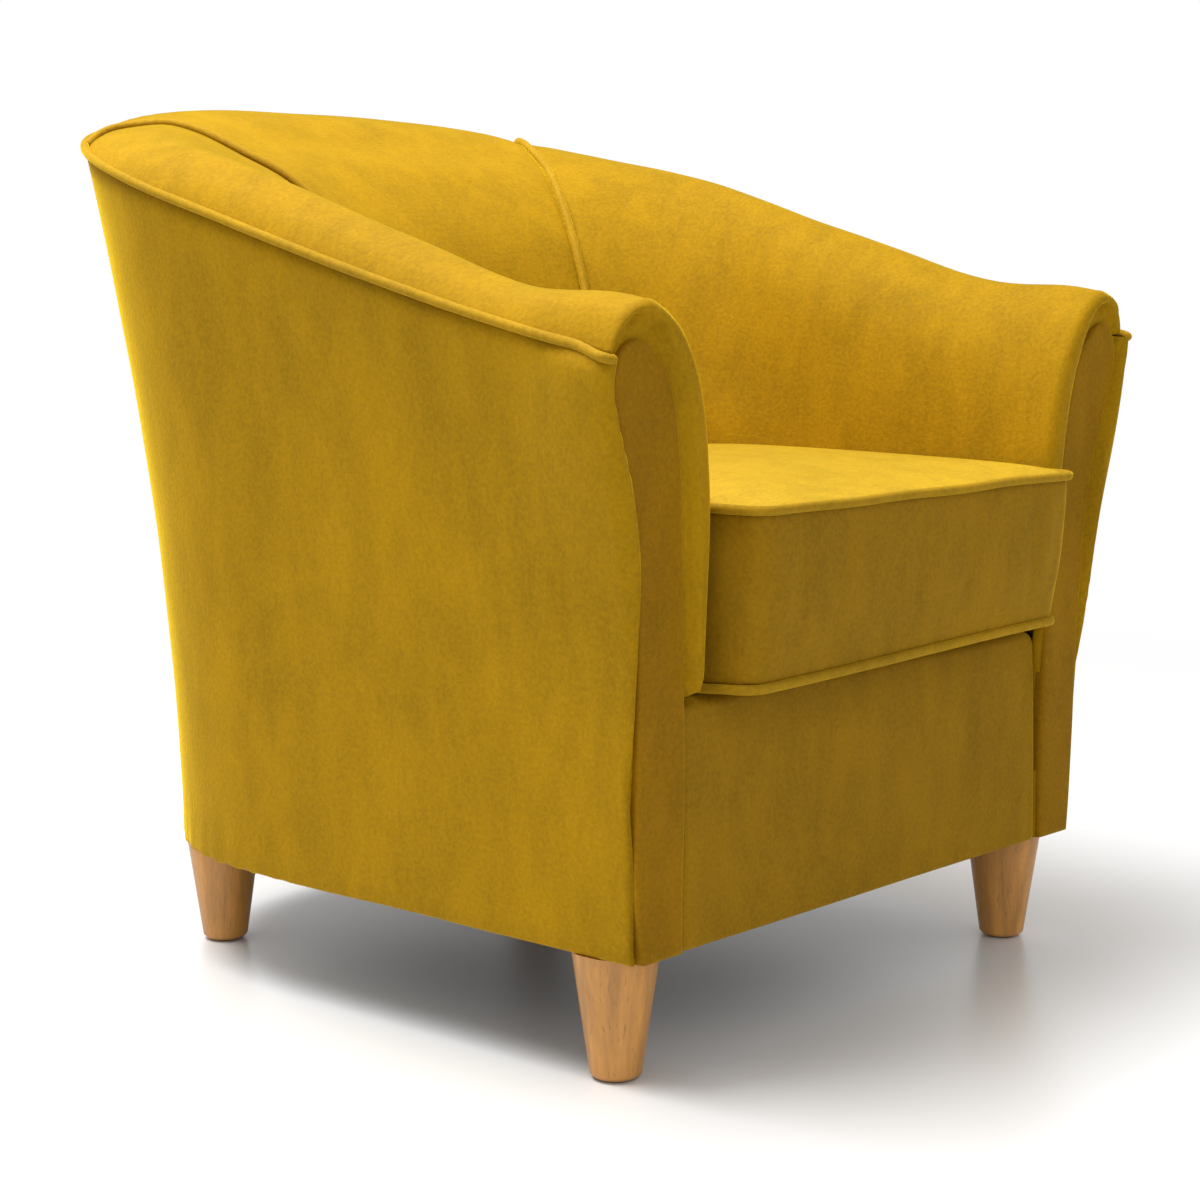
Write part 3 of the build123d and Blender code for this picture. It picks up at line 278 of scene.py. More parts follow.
def inside_rings():
    """Key outlines from the rim over the roll and down the inside to the floor."""
    rim, ridge, floor = rim_ring(), ridge_ring(), floor_ring()
    rings = [rim]
    for inwards, upwards in ROLL_STEPS:
        rings.append(replace(mix(rim, ridge, inwards),
                             z_front=between(rim.z_front, ridge.z_front, upwards),
                             z_back=between(rim.z_back, ridge.z_back, upwards)))
    rings.append(ridge)
    for down, side, back, straight in INSIDE_STEPS:
        rings.append(Ring(between(ridge.half, floor.half, side),
                          between(ridge.straight, floor.straight, straight),
                          between(ridge.back, floor.back, back),
                          between(ridge.power, floor.power, back),
                          between(ridge.z_front, floor.z_front, down),
                          between(ridge.z_back, floor.z_back, down)))
    return rings + [floor]


def through(knots, values, wanted):
    """Natural cubic curve through values at knots, read at the wanted places."""
    knots, values = np.asarray(knots, float), np.asarray(values, float)
    n, h = len(knots), np.diff(knots)
    system, right = np.eye(n), np.zeros((n,) + values.shape[1:])
    for i in range(1, n - 1):
        system[i, i - 1:i + 2] = h[i - 1], 2 * (h[i - 1] + h[i]), h[i]
        rise = (values[i + 1] - values[i]) / h[i] - (values[i] - values[i - 1]) / h[i - 1]
        right[i] = 6 * rise
    bend = np.linalg.solve(system, right)
    wanted = np.asarray(wanted, float)
    k = np.clip(np.searchsorted(knots, wanted) - 1, 0, n - 2)
    left, step = wanted - knots[k], h[k]
    if values.ndim > 1:
        left, step = left[:, None], step[:, None]
    slope = (values[k + 1] - values[k]) / step - step * (2 * bend[k] + bend[k + 1]) / 6
    curve = bend[k] / 2 + left * (bend[k + 1] - bend[k]) / (6 * step)
    return values[k] + left * (slope + left * curve)


def dense_inside(count):
    """(rings, places of them along the section from the rim, 0, to the floor, 1)."""
    keys = inside_rings()
    section = np.array([r.round_point(SEAM_ANGLE) for r in keys])
    knots = lengths_along(section)
    knots /= knots[-1]
    wanted = np.linspace(0, 1, count) ** INSIDE_CROWDING
    values = np.array([[getattr(r, n) for n in NAMES] for r in keys])
    rows = through(knots, values, wanted)
    return [Ring(*row) for row in rows], np.interp(wanted, knots, np.arange(len(keys)))


# ================================================================== mesh tools
TUBE_SIDES = 14
END_STEPS = np.array((0.15, 0.5, 0.8))   # where the rounding of a cord's end has its rows
# Unevenness of a cord's thickness: (depth, size of the waves, seed past the cord's own).
CORD_WAVES = ((0.035, 0.05, 0), (0.02, 0.016, 9))


def unit(vectors):
    length = np.linalg.norm(vectors, axis=-1, keepdims=True)
    return vectors / np.maximum(length, 1e-12)


def lengths_along(line):
    """Length of a line of points up to each of them."""
    return np.concatenate([[0], np.cumsum(np.linalg.norm(np.diff(line, axis=0), axis=1))])


def spaced(line, count, closed=False):
    """Points at even steps along a line, without its last point if it closes."""
    along = lengths_along(line)
    wanted = np.linspace(0, along[-1], count, endpoint=not closed)
    return np.stack([np.interp(wanted, along, values) for values in line.T], axis=1)


def arc(centre, radii, angles):
    """Points (a, b) round a centre at angles in degrees."""
    return [(centre[0] + radii[0] * math.cos(t), centre[1] + radii[1] * math.sin(t))
            for t in np.radians(angles)]


def add_mesh(name, points, faces, slot, body="chair"):
    mesh = bpy.data.meshes.new(name)
    placed = [(p[0], p[1] + DATUM_Y, p[2]) for p in points]
    mesh.from_pydata(placed, [], [tuple(f) for f in faces])
    mesh.validate()
    mesh.update()
    smooth_shade(mesh)
    piece = add_to_scene(name, mesh)
    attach(piece, body)
    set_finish(piece, slot)
    return piece


def smooth_shade(mesh):
    mesh.polygons.foreach_set("use_smooth", [True] * len(mesh.polygons))


def edit_mesh(piece, edit):
    """Run an edit on the faces and corners of a piece."""
    work = bmesh.new()
    work.from_mesh(piece.data)
    edit(work)
    work.to_mesh(piece.data)
    work.free()


def recalculate(piece):
    """Point all faces outwards."""
    edit_mesh(piece, lambda work: bmesh.ops.recalc_face_normals(work, faces=work.faces))


def face_front(piece):
    """Turn all faces of an open panel towards the front."""
    recalculate(piece)
    if sum(p.normal.y * p.area for p in piece.data.polygons) > 0:
        piece.data.flip_normals()


def grid_faces(rows, columns, around=False):
    """Quads of a grid of rows x columns, closed round the columns if asked."""
    faces = []
    for r in range(rows - 1):
        for c in range(columns if around else columns - 1):
            d = (c + 1) % columns
            a, b = r * columns, (r + 1) * columns
            faces.append((a + c, a + d, b + d, b + c))
    return faces


def grid_normals(grid):
    """Unit normals of a grid of points."""
    return unit(np.cross(np.gradient(grid, axis=1), np.gradient(grid, axis=0)))


def closed_grid(name, grid, slot, body="chair", both_ends=True):
    """Mesh of rows closed round, with a point in the middle of its last row or of both ends."""
    rows, count = grid.shape[:2]
    points = list(grid.reshape(-1, 3))
    faces = grid_faces(rows, count, around=True)
    for row in (0, rows - 1) if both_ends else (rows - 1,):
        hub = len(points)
        points.append(grid[row].mean(axis=0))
        for c in range(count):
            a, b = row * count + c, row * count + (c + 1) % count
            faces.append((a, b, hub) if row else (b, a, hub))
    piece = add_mesh(name, points, faces, slot, body)
    recalculate(piece)
    return piece


def flip_x(points):
    points = np.array(points, float)
    points[..., 0] *= -1
    return points


def ripple(points, seed, size):
    """Soft unevenness from a few waves, from -1 to 1, the same every run."""
    rng = np.random.default_rng(seed)
    total = np.zeros(points.shape[:-1])
    for _ in range(7):
        way = rng.normal(size=3)
        way *= 2 * math.pi / (size * np.linalg.norm(way) * rng.uniform(0.7, 1.6))
        total += np.sin(points @ way + rng.uniform(0, 2 * math.pi))
    return total / 7


def waves(points, seed, table):
    """Ripples of several (depth, size, seed past the first) together."""
    return sum(depth * ripple(points, seed + more, size) for depth, size, more in table)


def crease(points, start, end, width, sharp=0.35):
    """1 on the line from start to end, fading beside it and towards its ends."""
    start, end = np.array(start), np.array(end)
    run = end - start
    share = np.clip(((points - start) @ run) / (run @ run), 0, 1)
    away = np.linalg.norm(points - (start + share[..., None] * run), axis=-1)
    ends = np.clip(np.minimum(share, 1 - share) / sharp, 0.15, 1)
    return np.exp(-(away / width) ** 2) * ends


def tube(name, path, slot, body="chair", closed=False, seed=1):
    """Piping: a velvet-covered cord along a path, slightly uneven, with rounded ends."""
    if closed:
        run = unit(np.roll(path, -1, axis=0) - np.roll(path, 1, axis=0))
    else:
        run = unit(np.gradient(path, axis=0))
    side = np.cross(run, (0.0, 0.0, 1.0))
    upright = np.linalg.norm(side, axis=1, keepdims=True) < 0.2
    side = np.where(upright, np.cross(run, (1.0, 0, 0)), side)
    for k in range(1, len(side)):
        if side[k] @ side[k - 1] < 0:
            side[k] *= -1
    side = unit(side)
    up = np.cross(side, run)
    sizes = PIPING_R * (1 + waves(path, seed, CORD_WAVES))
    if not closed:
        grow = PIPING_R * np.sqrt(1 - (1 - END_STEPS) ** 2)
        past = (PIPING_R * (1 - END_STEPS))[:, None]
        path = np.vstack([path[0] - run[0] * past, path, (path[-1] + run[-1] * past)[::-1]])
        sizes = np.concatenate([grow, sizes, grow[::-1]])
        side, up = (np.vstack([f[:1]] * 3 + [f] + [f[-1:]] * 3) for f in (side, up))
    turn = np.linspace(0, 2 * math.pi, TUBE_SIDES, endpoint=False)[None, :, None]
    circle = np.cos(turn) * side[:, None] + np.sin(turn) * up[:, None]
    points = (path[:, None] + circle * sizes[:, None, None]).reshape(-1, 3)
    rows, sides = len(path), TUBE_SIDES
    faces = grid_faces(rows, sides, around=True)
    last = (rows - 1) * sides
    if closed:
        faces += [(last + c, last + (c + 1) % sides, (c + 1) % sides, c) for c in range(sides)]
    else:
        faces += [tuple(range(sides))[::-1], tuple(range(last, last + sides))]
    return add_mesh(name, points, faces, slot, body)


# ================================================================== materials
SHEEN_TINT = (1.0, 0.84, 0.16)


def linear(colour):
    """Colour as a shader takes it, from the colour as it is seen."""
    rgb = [c / 12.92 if c <= 0.04045 else ((c + 0.055) / 1.055) ** 2.4 for c in colour[:3]]
    return (*rgb, 1.0)


def tinted(colour, factor):
    return linear([min(c * factor, 1.0) for c in colour])


class Nodes:
    """A node tree, with short calls to add to it."""

    def __init__(self, tree):
        self.tree = tree

    def put(self, socket, value):
        """Link a socket to another one, or give it a plain value."""
        if isinstance(value, bpy.types.NodeSocket):
            self.tree.links.new(value, socket)
        else:
            socket.default_value = value

    def node(self, kind, inputs=(), **settings):
        """A node with its settings and, by name or number, its inputs."""
        made = self.tree.nodes.new(kind)
        for name, value in settings.items():
            setattr(made, name, value)
        for name, value in dict(inputs).items():
            self.put(made.inputs[name], value)
        return made

    def maths(self, operation, a, b):
        return self.node("ShaderNodeMath", {0: a, 1: b}, operation=operation).outputs[0]

    def weighted(self, *terms):
        """Sum of values, each times its weight."""
        parts = [self.maths("MULTIPLY", *term) for term in terms]
        total = parts[0]
        for part in parts[1:]:
            total = self.maths("ADD", total, part)
        return total

    def ranged(self, value, low, high, to_low=0.0, to_high=1.0):
        return self.node("ShaderNodeMapRange", {
            "Value": value, "From Min": low, "From Max": high,
            "To Min": to_low, "To Max": to_high}).outputs["Result"]

    def mixed(self, factor, a, b):
        made = self.node("ShaderNodeMix", data_type="RGBA")
        for socket, value in ((0, factor), (6, a), (7, b)):
            self.put(made.inputs[socket], value)
        return made.outputs[2]


class Shader(Nodes):
    """A new material."""

    def __init__(self, name):
        self.material = bpy.data.materials.new(name)
        self.material.use_nodes = True
        super().__init__(self.material.node_tree)
        self.surface = self.tree.nodes["Principled BSDF"]
        self.place = self.node("ShaderNodeTexCoord").outputs["Object"]

    def set(self, **values):
        for name, value in values.items():
            self.put(self.surface.inputs[name.replace("_", " ")], value)

    def noise(self, scale, detail=3.0, roughness=0.5, stretch=(1, 1, 1), distortion=0.0):
        mapping = self.node("ShaderNodeMapping", {"Vector": self.place, "Scale": stretch})
        return self.node("ShaderNodeTexNoise", {
            "Vector": mapping.outputs["Vector"], "Scale": scale, "Detail": detail,
            "Roughness": roughness, "Distortion": distortion}).outputs["Fac"]

    def bump(self, height, distance, strength):
        made = self.node("ShaderNodeBump", {"Height": height, "Distance": distance,
                                            "Strength": strength})
        self.set(Normal=made.outputs["Normal"])


def velvet(name, colour):
    """Short pile: brushed patches, fine streaks and grain, and a bright sheen at its edges."""
    made = Shader(name)
    patches = made.ranged(made.noise(6.0, 2.0, 0.5, distortion=0.6), 0.35, 0.65)
    streaks = made.noise(30.0, 3.0, 0.55, stretch=(1.0, 1.0, 0.35), distortion=0.4)
    streaks = made.ranged(streaks, 0.36, 0.64)
    grain = made.ranged(made.noise(260.0, 3.0, 0.65), 0.32, 0.68)
    pile = made.noise(900.0, 2.0, 0.7)
    tone = made.weighted((patches, 0.20), (streaks, 0.20), (grain, 0.35), (pile, 0.25))
    made.set(Base_Color=made.mixed(made.ranged(tone, 0.2, 0.8), tinted(colour, 0.90),
                                   tinted(colour, 1.10)),
             Roughness=0.8, Specular_IOR_Level=0.10, Sheen_Weight=0.9, Sheen_Roughness=0.30,
             Sheen_Tint=linear(SHEEN_TINT))
    made.bump(made.weighted((streaks, 0.25), (grain, 0.35), (pile, 0.2)), 0.0010, 0.5)
    return made.material


def wood(name, colour, grain=(90.0, 90.0, 3.5), gloss=0.42):
    """Wood or plywood: long grain, pores and slow changes of tone."""
    made = Shader(name)
    fibres = made.noise(1.0, 5.0, 0.6, stretch=grain, distortion=0.3)
    rings = made.noise(1.0, 2.0, 0.5, stretch=tuple(g * 0.25 for g in grain), distortion=1.2)
    pores = made.noise(1.0, 2.0, 0.5, stretch=(grain[0] * 7, grain[1] * 7, grain[2] * 9))
    tone = made.weighted((made.ranged(fibres, 0.3, 0.7), 0.6),
                         (made.ranged(rings, 0.35, 0.65), 0.4))
    colours = made.mixed(tone, tinted(colour, 0.80), tinted(colour, 1.16))
    dark = made.ranged(pores, 0.62, 0.72, 0.0, 0.45)
    made.set(Base_Color=made.mixed(dark, colours, tinted(colour, 0.55)),
             Roughness=gloss, Specular_IOR_Level=0.45, Coat_Weight=0.15, Coat_Roughness=0.3)
    made.bump(made.weighted((fibres, 0.6), (pores, -0.5)), 0.0006, 0.5)
    return made.material


def woven(name, colour, pitch=0.0012, contrast=0.25):
    """Plain weave of two sets of threads."""
    made = Shader(name)
    waves = [made.node("ShaderNodeTexWave", {"Vector": made.place, "Scale": 0.05 / pitch,
                                             "Distortion": 0.4}, bands_direction=way)
             for way in ("X", "Y")]
    threads = made.maths("MULTIPLY", *(wave.outputs["Fac"] for wave in waves))
    tone = made.weighted((threads, 0.7), (made.noise(12.0, 3.0), 0.5))
    shades = tinted(colour, 1 - contrast), tinted(colour, 1 + contrast)
    made.set(Base_Color=made.mixed(tone, *shades), Roughness=0.9, Specular_IOR_Level=0.2,
             Sheen_Weight=0.2)
    made.bump(threads, pitch * 0.3, 0.6)
    return made.material


def grained(name, colour, scale=300.0, rough=0.8, depth=0.0006, metal=0.0):
    """Foam, wadding, board, plastic and metal: even tone with fine grain."""
    made = Shader(name)
    fine = made.noise(scale, 3.0, 0.6)
    tone = made.ranged(made.weighted((fine, 0.6), (made.noise(14.0, 3.0, 0.5), 0.4)), 0.3, 0.7)
    made.set(Base_Color=made.mixed(tone, tinted(colour, 0.88), tinted(colour, 1.12)),
             Roughness=rough, Metallic=metal)
    made.bump(fine, depth, 0.5)
    return made.material


# Slot: (kind, colour or the panel's name for it, more of the kind's settings).
FINISHES = {
    "velvet": (velvet, "velvet", {}),
    # Lighter copy of the velvet for the cushion's top: painted light where it faces the lamp
    # above, partly the pile's own tone.
    "velvet_seat": (velvet, "velvet_seat", {}),
    # Darker copy of the velvet for the cushion's border and the front border: painted shade on
    # faces turned to the front, away from the lamp.
    "velvet_shade": (velvet, "velvet_shade", {}),
    # Darkest copy of the velvet for the arm facings: painted shade on faces turned to the front,
    # away from the lamp.
    "velvet_facing": (velvet, "velvet_facing", {}),
    "velvet_piping": (velvet, "velvet_piping", {}),
    "leg_wood": (wood, "legs", {}),
    "frame_wood": (wood, (0.74, 0.58, 0.38), dict(gloss=0.75)),
    "plywood": (wood, (0.77, 0.62, 0.42), dict(grain=(60.0, 6.0, 420.0), gloss=0.7)),
    "stiff_board": (grained, (0.62, 0.50, 0.36), {}),
    "foam": (grained, (0.88, 0.84, 0.68), dict(scale=500.0, rough=0.95)),
    "wadding": (grained, (0.92, 0.91, 0.88), dict(scale=220.0, rough=0.98, depth=0.001)),
    "webbing": (woven, (0.45, 0.36, 0.24), dict(pitch=0.0025)),
    "lining_cloth": (woven, (0.55, 0.43, 0.12), dict(contrast=0.15)),
    "dust_cloth": (woven, (0.06, 0.06, 0.06), dict(pitch=0.0016, contrast=0.3)),
    "glide_plastic": (grained, (0.10, 0.10, 0.10), dict(scale=600.0, rough=0.45)),
    "fastener_steel": (grained, (0.70, 0.70, 0.72), dict(scale=500.0, rough=0.35, metal=1.0)),
    "zip_tape": (woven, (0.50, 0.38, 0.10), dict(pitch=0.0008, contrast=0.15)),
    "zip_metal": (grained, (0.75, 0.68, 0.50), dict(scale=500.0, rough=0.3, metal=1.0)),
}
_made = {}


def finish_for(slot):
    """The material of a slot, made once."""
    if slot not in _made:
        kind, colour, settings = FINISHES[slot]
        if isinstance(colour, str):
            colour = getattr(bpy.context.scene.tub_chair_look, colour)
        _made[slot] = kind(slot.replace("_", " "), colour, **settings)
    return _made[slot]


def dress(piece):
    """Give a piece the finish of its slot."""
    piece.data.materials.clear()
    piece.data.materials.append(finish_for(piece["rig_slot"]))


# ================================================================== velvet walls
ARM_STEPS = 26                       # columns along an arm
ARM_CROWDING = 1.15                  # how they crowd towards its front
FRONT_TUCK = 0.14                    # share of the arm over which its tucked foot eases out
# Where the skins of the arm front end under the facing: x low and high, up to a height.
CENTRE_X = (0.284, 0.338)
CENTRE_TOP = 0.572
CENTRE_EASE = (0.305, 0.345)         # heights between which it leaves the border's side
CAP_STEPS = (1.0, 0.9, 0.8, 0.71, 0.62, 0.55, 0.48, 0.42, 0.36, 0.30, 0.25, 0.20, 0.155, 0.115,
             0.08, 0.05, 0.025, 0.01)


def read_along(table, y):
    ys, rises = zip(*table)
    y = np.asarray(y)
    return through(ys, rises, np.clip(y, ys[0], ys[-1]).ravel()).reshape(y.shape)


def ridge_lift(points, row_place):
    """How far the roll stands above its straight lines, at the rim and at the ridge."""
    past = smooth(ROLL_ROWS + 1, ROLL_ROWS + 5.5, row_place)
    near_ridge = smooth(0.0, ROLL_ROWS, row_place) * (1 - past)
    near_rim = 1 - smooth(0.0, ROLL_ROWS, row_place)
    y = points[..., 1]
    return read_along(RIDGE_RISE, y) * near_ridge + read_along(RIM_RISE, y) * near_rim


def face_y(z):
    """Y of the facing's leaning face at a height."""
    return read_along(FACE_LINE, z)


def facing_outline(count=150):
    """Evenly spaced points (x, z) round the right facing."""
    row = np.array(FACING_OUTLINE)
    along = lengths_along(row)
    return spaced(through(along, row, np.linspace(0, along[-1], 8 * count)), count)


def outside_facing(x, z):
    """How far points of the arm front lie outside the facing's outline; below 0 inside."""
    half = 35
    outline = facing_outline(2 * half)
    start, end = outline[:-1], outline[1:]
    p = np.stack([x, z], axis=-1)[..., None, :]
    run = end - start
    share = np.clip(((p - start) * run).sum(-1) / (run * run).sum(-1), 0, 1)
    away = np.linalg.norm(p - start - share[..., None] * run, axis=-1).min(-1)
    inner = np.interp(z, outline[:half, 1], outline[:half, 0])
    outer = np.interp(z, outline[half:, 1][::-1], outline[half:, 0][::-1])
    inside = (x > inner) & (x < outer) & (z < outline[:, 1].max())
    return np.where(inside, -away, away)


def centre_line(z):
    """Where the skins of the arm front end, under the facing: (x, z) for a height."""
    height = np.minimum(z, CENTRE_TOP)
    x = between(*CENTRE_X, (height - WELL_FLOOR) / (CENTRE_TOP - WELL_FLOOR))
    return between(BORDER_HALF, x, smooth(*CENTRE_EASE, height)), height


def cap_columns(edge, radius, proud):
    """Columns of points over the arm's front, from under the facing out to the edge."""
    x, z = centre_line(edge[:, 2])
    run = np.stack([x, edge[:, 1], z], axis=1) - edge
    run[:, 1] = 0
    length = np.linalg.norm(run, axis=1)
    columns = []
    for step in CAP_STEPS:
        p = edge + run * step
        e = np.minimum(step * length / radius, 1.0)
        away = outside_facing(p[:, 0], p[:, 2])
        dip = (proud + SEAM_DEPTH) * (1 - smooth(0.0, SEAM_WIDTH, away))
        p[:, 1] = face_y(p[:, 2]) - proud + dip + radius * (1 - np.sqrt(1 - (1 - e) ** 2))
        columns.append(p)
    return columns


def tuck_in(points, share):
    """The inside arm's foot rounds out to meet the facing."""
    low = np.clip((TUCK_HEIGHT - points[:, 2]) / (TUCK_HEIGHT - WELL_FLOOR), 0, 1)
    points = points.copy()
    ease = 1 - smooth(0.0, FRONT_TUCK, share)
    points[:, 0] += TUCK * (1 - np.sqrt(1 - low ** 2)) * ease
    return points


def puff_out(points, share=0.0):
    """The outside is fuller below the end of the rim piping."""
    points = points.copy()
    near = smooth(PUFF_FROM, PUFF_TO, points[:, 1]) * (points[:, 0] > BORDER_HALF)
    high = smooth(*PUFF_RISING, points[:, 2]) * smooth(*PUFF_FALLING, points[:, 2])
    points[:, 0] += PUFF_DEPTH * high * near
    return points


def wall_grid(rings, first_angle, last_angle, round_steps, front=None, move=puff_out):
    """Grid of points, a row for each ring, from the arm front (if it has a padded edge) round
    the back. The arm's points are moved at the share of the arm that they stand at."""
    columns = []
    if front:
        for k in range(ARM_STEPS + 1):
            share = (k / ARM_STEPS) ** ARM_CROWDING
            columns.append(move(np.array([r.side(share, front) for r in rings]), share))
        columns = cap_columns(columns[0], *front) + columns
    for k in range(1 if front else 0, round_steps + 1):
        share = k / round_steps
        columns.append(np.array([r.round_point(between(first_angle(r), last_angle(r), share))
                                 for r in rings]))
    return np.stack(columns, axis=1)


def roll_edge(grid, ends, depth=0.0022, over=2):
    """Turn the end columns of a skin in, where it is sewn to its neighbours."""
    for end in ends:
        normals = grid_normals(grid)
        for k in range(over):
            column = -1 - k if end < 0 else k
            grid[:, column] -= normals[:, column] * depth * (1 - k / over) ** 1.5
    return grid


def out_sign(grid, centre=(0.0, 0.05, 0.35)):
    """1 where the grid's normals look away from the seat, -1 where they look towards it."""
    row, column = grid.shape[0] // 2, grid.shape[1] // 2
    return 1 if grid_normals(grid)[row, column] @ (grid[row, column] - centre) > 0 else -1


def outwards(row):
    """Level unit directions away from the middle of the seat."""
    run = row - PLAN_MIDDLE
    run[:, 2] = 0
    return unit(run)


def skin(name, grid, slot, flip, nodes):
    """Padded piece from a skin grid, in place of its nodes."""
    faces = grid_faces(*grid.shape[:2])
    if flip:
        faces = [f[::-1] for f in faces]
    piece = add_mesh(name, grid.reshape(-1, 3), faces, slot)
    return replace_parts(piece, *nodes)


OUTSIDE_ROWS = 34
HEM = ((0.016, 0.0008), (0.006, 0.0002), (0.0025, 0.0006), (0.0008, 0.0022))  # (inwards, up)
OUTSIDE_WAVES = ((0.0012, 0.16, 0),)
# Upright streaks: waves round the plan, depth, how they wander, and heights where they start.
STREAKS, STREAK_DEPTH, STREAK_WANDER, STREAK_HEIGHTS = 190, 0.00045, (1.4, 0.07), (0.40, 0.62)
# Gathers along the hem: waves a degree, depth, top, and the angles where they come and go.
PUCKERS, PUCKER_DEPTH, PUCKER_TOP, PUCKER_ANGLES = 1.6, 0.0012, 0.170, ((15, 35), (60, 75))


def outside_grid(first_angle, last_angle, round_steps, **more):
    """Outside skin with its hem turned under and its top tucked behind the piping."""
    top = 1 - 0.0042 / (RIM_FRONT_HEIGHT - BODY_BOTTOM)
    rings = [wall_ring(s) for s in np.linspace(0.008, top, OUTSIDE_ROWS)]
    grid = wall_grid(rings, first_angle, last_angle, round_steps, **more)
    share = np.linspace(0, 1, len(grid))[:, None]
    grid[..., 2] += read_along(RIM_RISE, grid[..., 1]) * smooth(0.7, 1.0, share)
    run = outwards(grid[0])
    hem = []
    for inward, upward in HEM:
        row = grid[0] - run * inward
        row[:, 2] = BODY_BOTTOM + upward
        hem.append(row)
    tuck = [grid[-1] - run * 0.003 + np.array((0, 0, 0.0015)), grid[-1] - run * TUCK_DEPTH]
    return np.vstack([np.array(hem), grid, np.array(tuck)])


def outside_relief(grid, seed):
    """A wavy surface, upright streaks where the velvet is pulled tight below the rim, and
    small gathers along the hem at the rear corners."""
    normals = grid_normals(grid) * out_sign(grid)
    wander, size = STREAK_WANDER
    turn = np.arctan2(grid[..., 1] - FAN_CENTRE, np.abs(grid[..., 0]))
    wave = (turn * 0.34 + grid[..., 1] * 0.66) * STREAKS
    streak = np.sin(wave + wander * ripple(grid, seed + 2, size)) * STREAK_DEPTH
    near_top = smooth(*STREAK_HEIGHTS, grid[..., 2] - 0.2 * (grid[..., 1] + 0.24))
    grid = grid + normals * (waves(grid, seed, OUTSIDE_WAVES) + streak * near_top)[..., None]
    turn = np.degrees(np.arctan2(grid[..., 1] - FAN_CENTRE, np.abs(grid[..., 0])))
    come, go = PUCKER_ANGLES
    near = smooth(*come, turn) * (1 - smooth(*go, turn))
    near *= 1 - smooth(BODY_BOTTOM, PUCKER_TOP, grid[..., 2])
    return grid + normals * (np.sin(turn * PUCKERS) * PUCKER_DEPTH * near)[..., None]


def build_outside():
    seam = lambda ring: ring.angle_at_fan(OUTSIDE_SEAM_ANGLE)
    right = outside_grid(lambda ring: 0.0, seam, 26, front=OUTER_EDGE)
    right = outside_relief(roll_edge(right, (-1,)), 5)
    inner = right[:, :1] + np.array((0.0, TUCK_DEPTH, 0.0))
    right = np.concatenate([inner, right], axis=1)
    back = outside_grid(seam, lambda ring: 180.0 - seam(ring), 30)
    back = roll_edge(outside_relief(back, 8), (-1, 0))
    return [skin(name, grid, "velvet", out_sign(grid) < 0, (node,)) for name, grid, node in (
        ("outside_arm_velvet_right", right, "outside_arm_right"),
        ("outside_arm_velvet_left", flip_x(right), "outside_arm_left"),
        ("outside_back_velvet", back, "outside_back"))]


INSIDE_ROWS = 64
INSIDE_CROWDING = 1.35               # how they crowd towards the rim
INSIDE_WAVES = ((0.0022, 0.22, 0), (0.0007, 0.09, 3))
SEAM_DIPS = (0.0030, 0.0014, 0.0004)  # how far the last columns sink at a seam
# Folds of the inside velvet near its seams: (start, end, width, depth).
INSIDE_FOLDS = (
    ((-0.276, 0.350, 0.772), (-0.262, 0.330, 0.745), 0.006, 0.0030),
    ((-0.300, 0.300, 0.742), (-0.286, 0.270, 0.700), 0.007, 0.0028),
    ((-0.310, 0.220, 0.716), (-0.290, 0.200, 0.665), 0.008, 0.0024),
    ((0.276, 0.350, 0.772), (0.258, 0.325, 0.735), 0.006, 0.0030),
    ((0.305, 0.290, 0.736), (0.288, 0.262, 0.690), 0.007, 0.0026),
)
# Gathers over the roll's front, on the left: (start at the facing, end, width, depth).
FRONT_FOLDS = (
    ((-0.340, -0.272, 0.600), (-0.336, -0.256, 0.624), 0.0045, 0.0060),
    ((-0.323, -0.272, 0.595), (-0.303, -0.256, 0.619), 0.0042, 0.0075),
    ((-0.304, -0.270, 0.569), (-0.279, -0.256, 0.577), 0.0040, 0.0050),
)


def inside_relief(grid, normals, seed):
    """Unevenness and folds of the padded inside."""
    lift = waves(grid, seed, INSIDE_WAVES)
    for start, end, width, depth in INSIDE_FOLDS:
        lift = lift - depth * crease(grid, start, end, width)
    for start, end, width, depth in FRONT_FOLDS:
        for a, b in ((start, end), (flip_x(start), flip_x(end))):
            lift = lift - depth * crease(grid, a, b, width, 0.6)
    return grid + normals * lift[..., None]


def inside_grids():
    """(right arm, back) of the inside velvet, without its relief."""
    rings, places = dense_inside(INSIDE_ROWS)
    seams = {id(r): between(SEAM_ANGLE_RIM, SEAM_ANGLE, min(p / ROLL_ROWS, 1.0))
             for r, p in zip(rings, places)}
    seam = lambda ring: seams[id(ring)]
    arm = wall_grid(rings, lambda ring: 0.0, seam, 22, INNER_EDGE, tuck_in)
    back = wall_grid(rings, seam, lambda ring: 180.0 - seam(ring), 44)
    for grid in (arm, back):
        grid[..., 2] += ridge_lift(grid, places[:, None] * np.ones(grid.shape[1]))
    return arm, back


def tuck_edges(grid, normals, both):
    """The skin dips to its seams and its edges go on inwards, out of sight."""
    for end, step in ((0, 1), (-1, -1)) if both else ((-1, -1),):
        for k, dip in enumerate(SEAM_DIPS):
            grid[:, end + k * step] -= normals[:, end + k * step] * dip
    parts = [grid, grid[:, -1:] - normals[:, -1:] * TUCK_DEPTH]
    if both:
        parts.insert(0, grid[:, :1] - normals[:, :1] * TUCK_DEPTH)
    grid = np.concatenate(parts, axis=1)
    return np.concatenate([(grid[0] - outwards(grid[0]) * TUCK_DEPTH)[None], grid], axis=0)


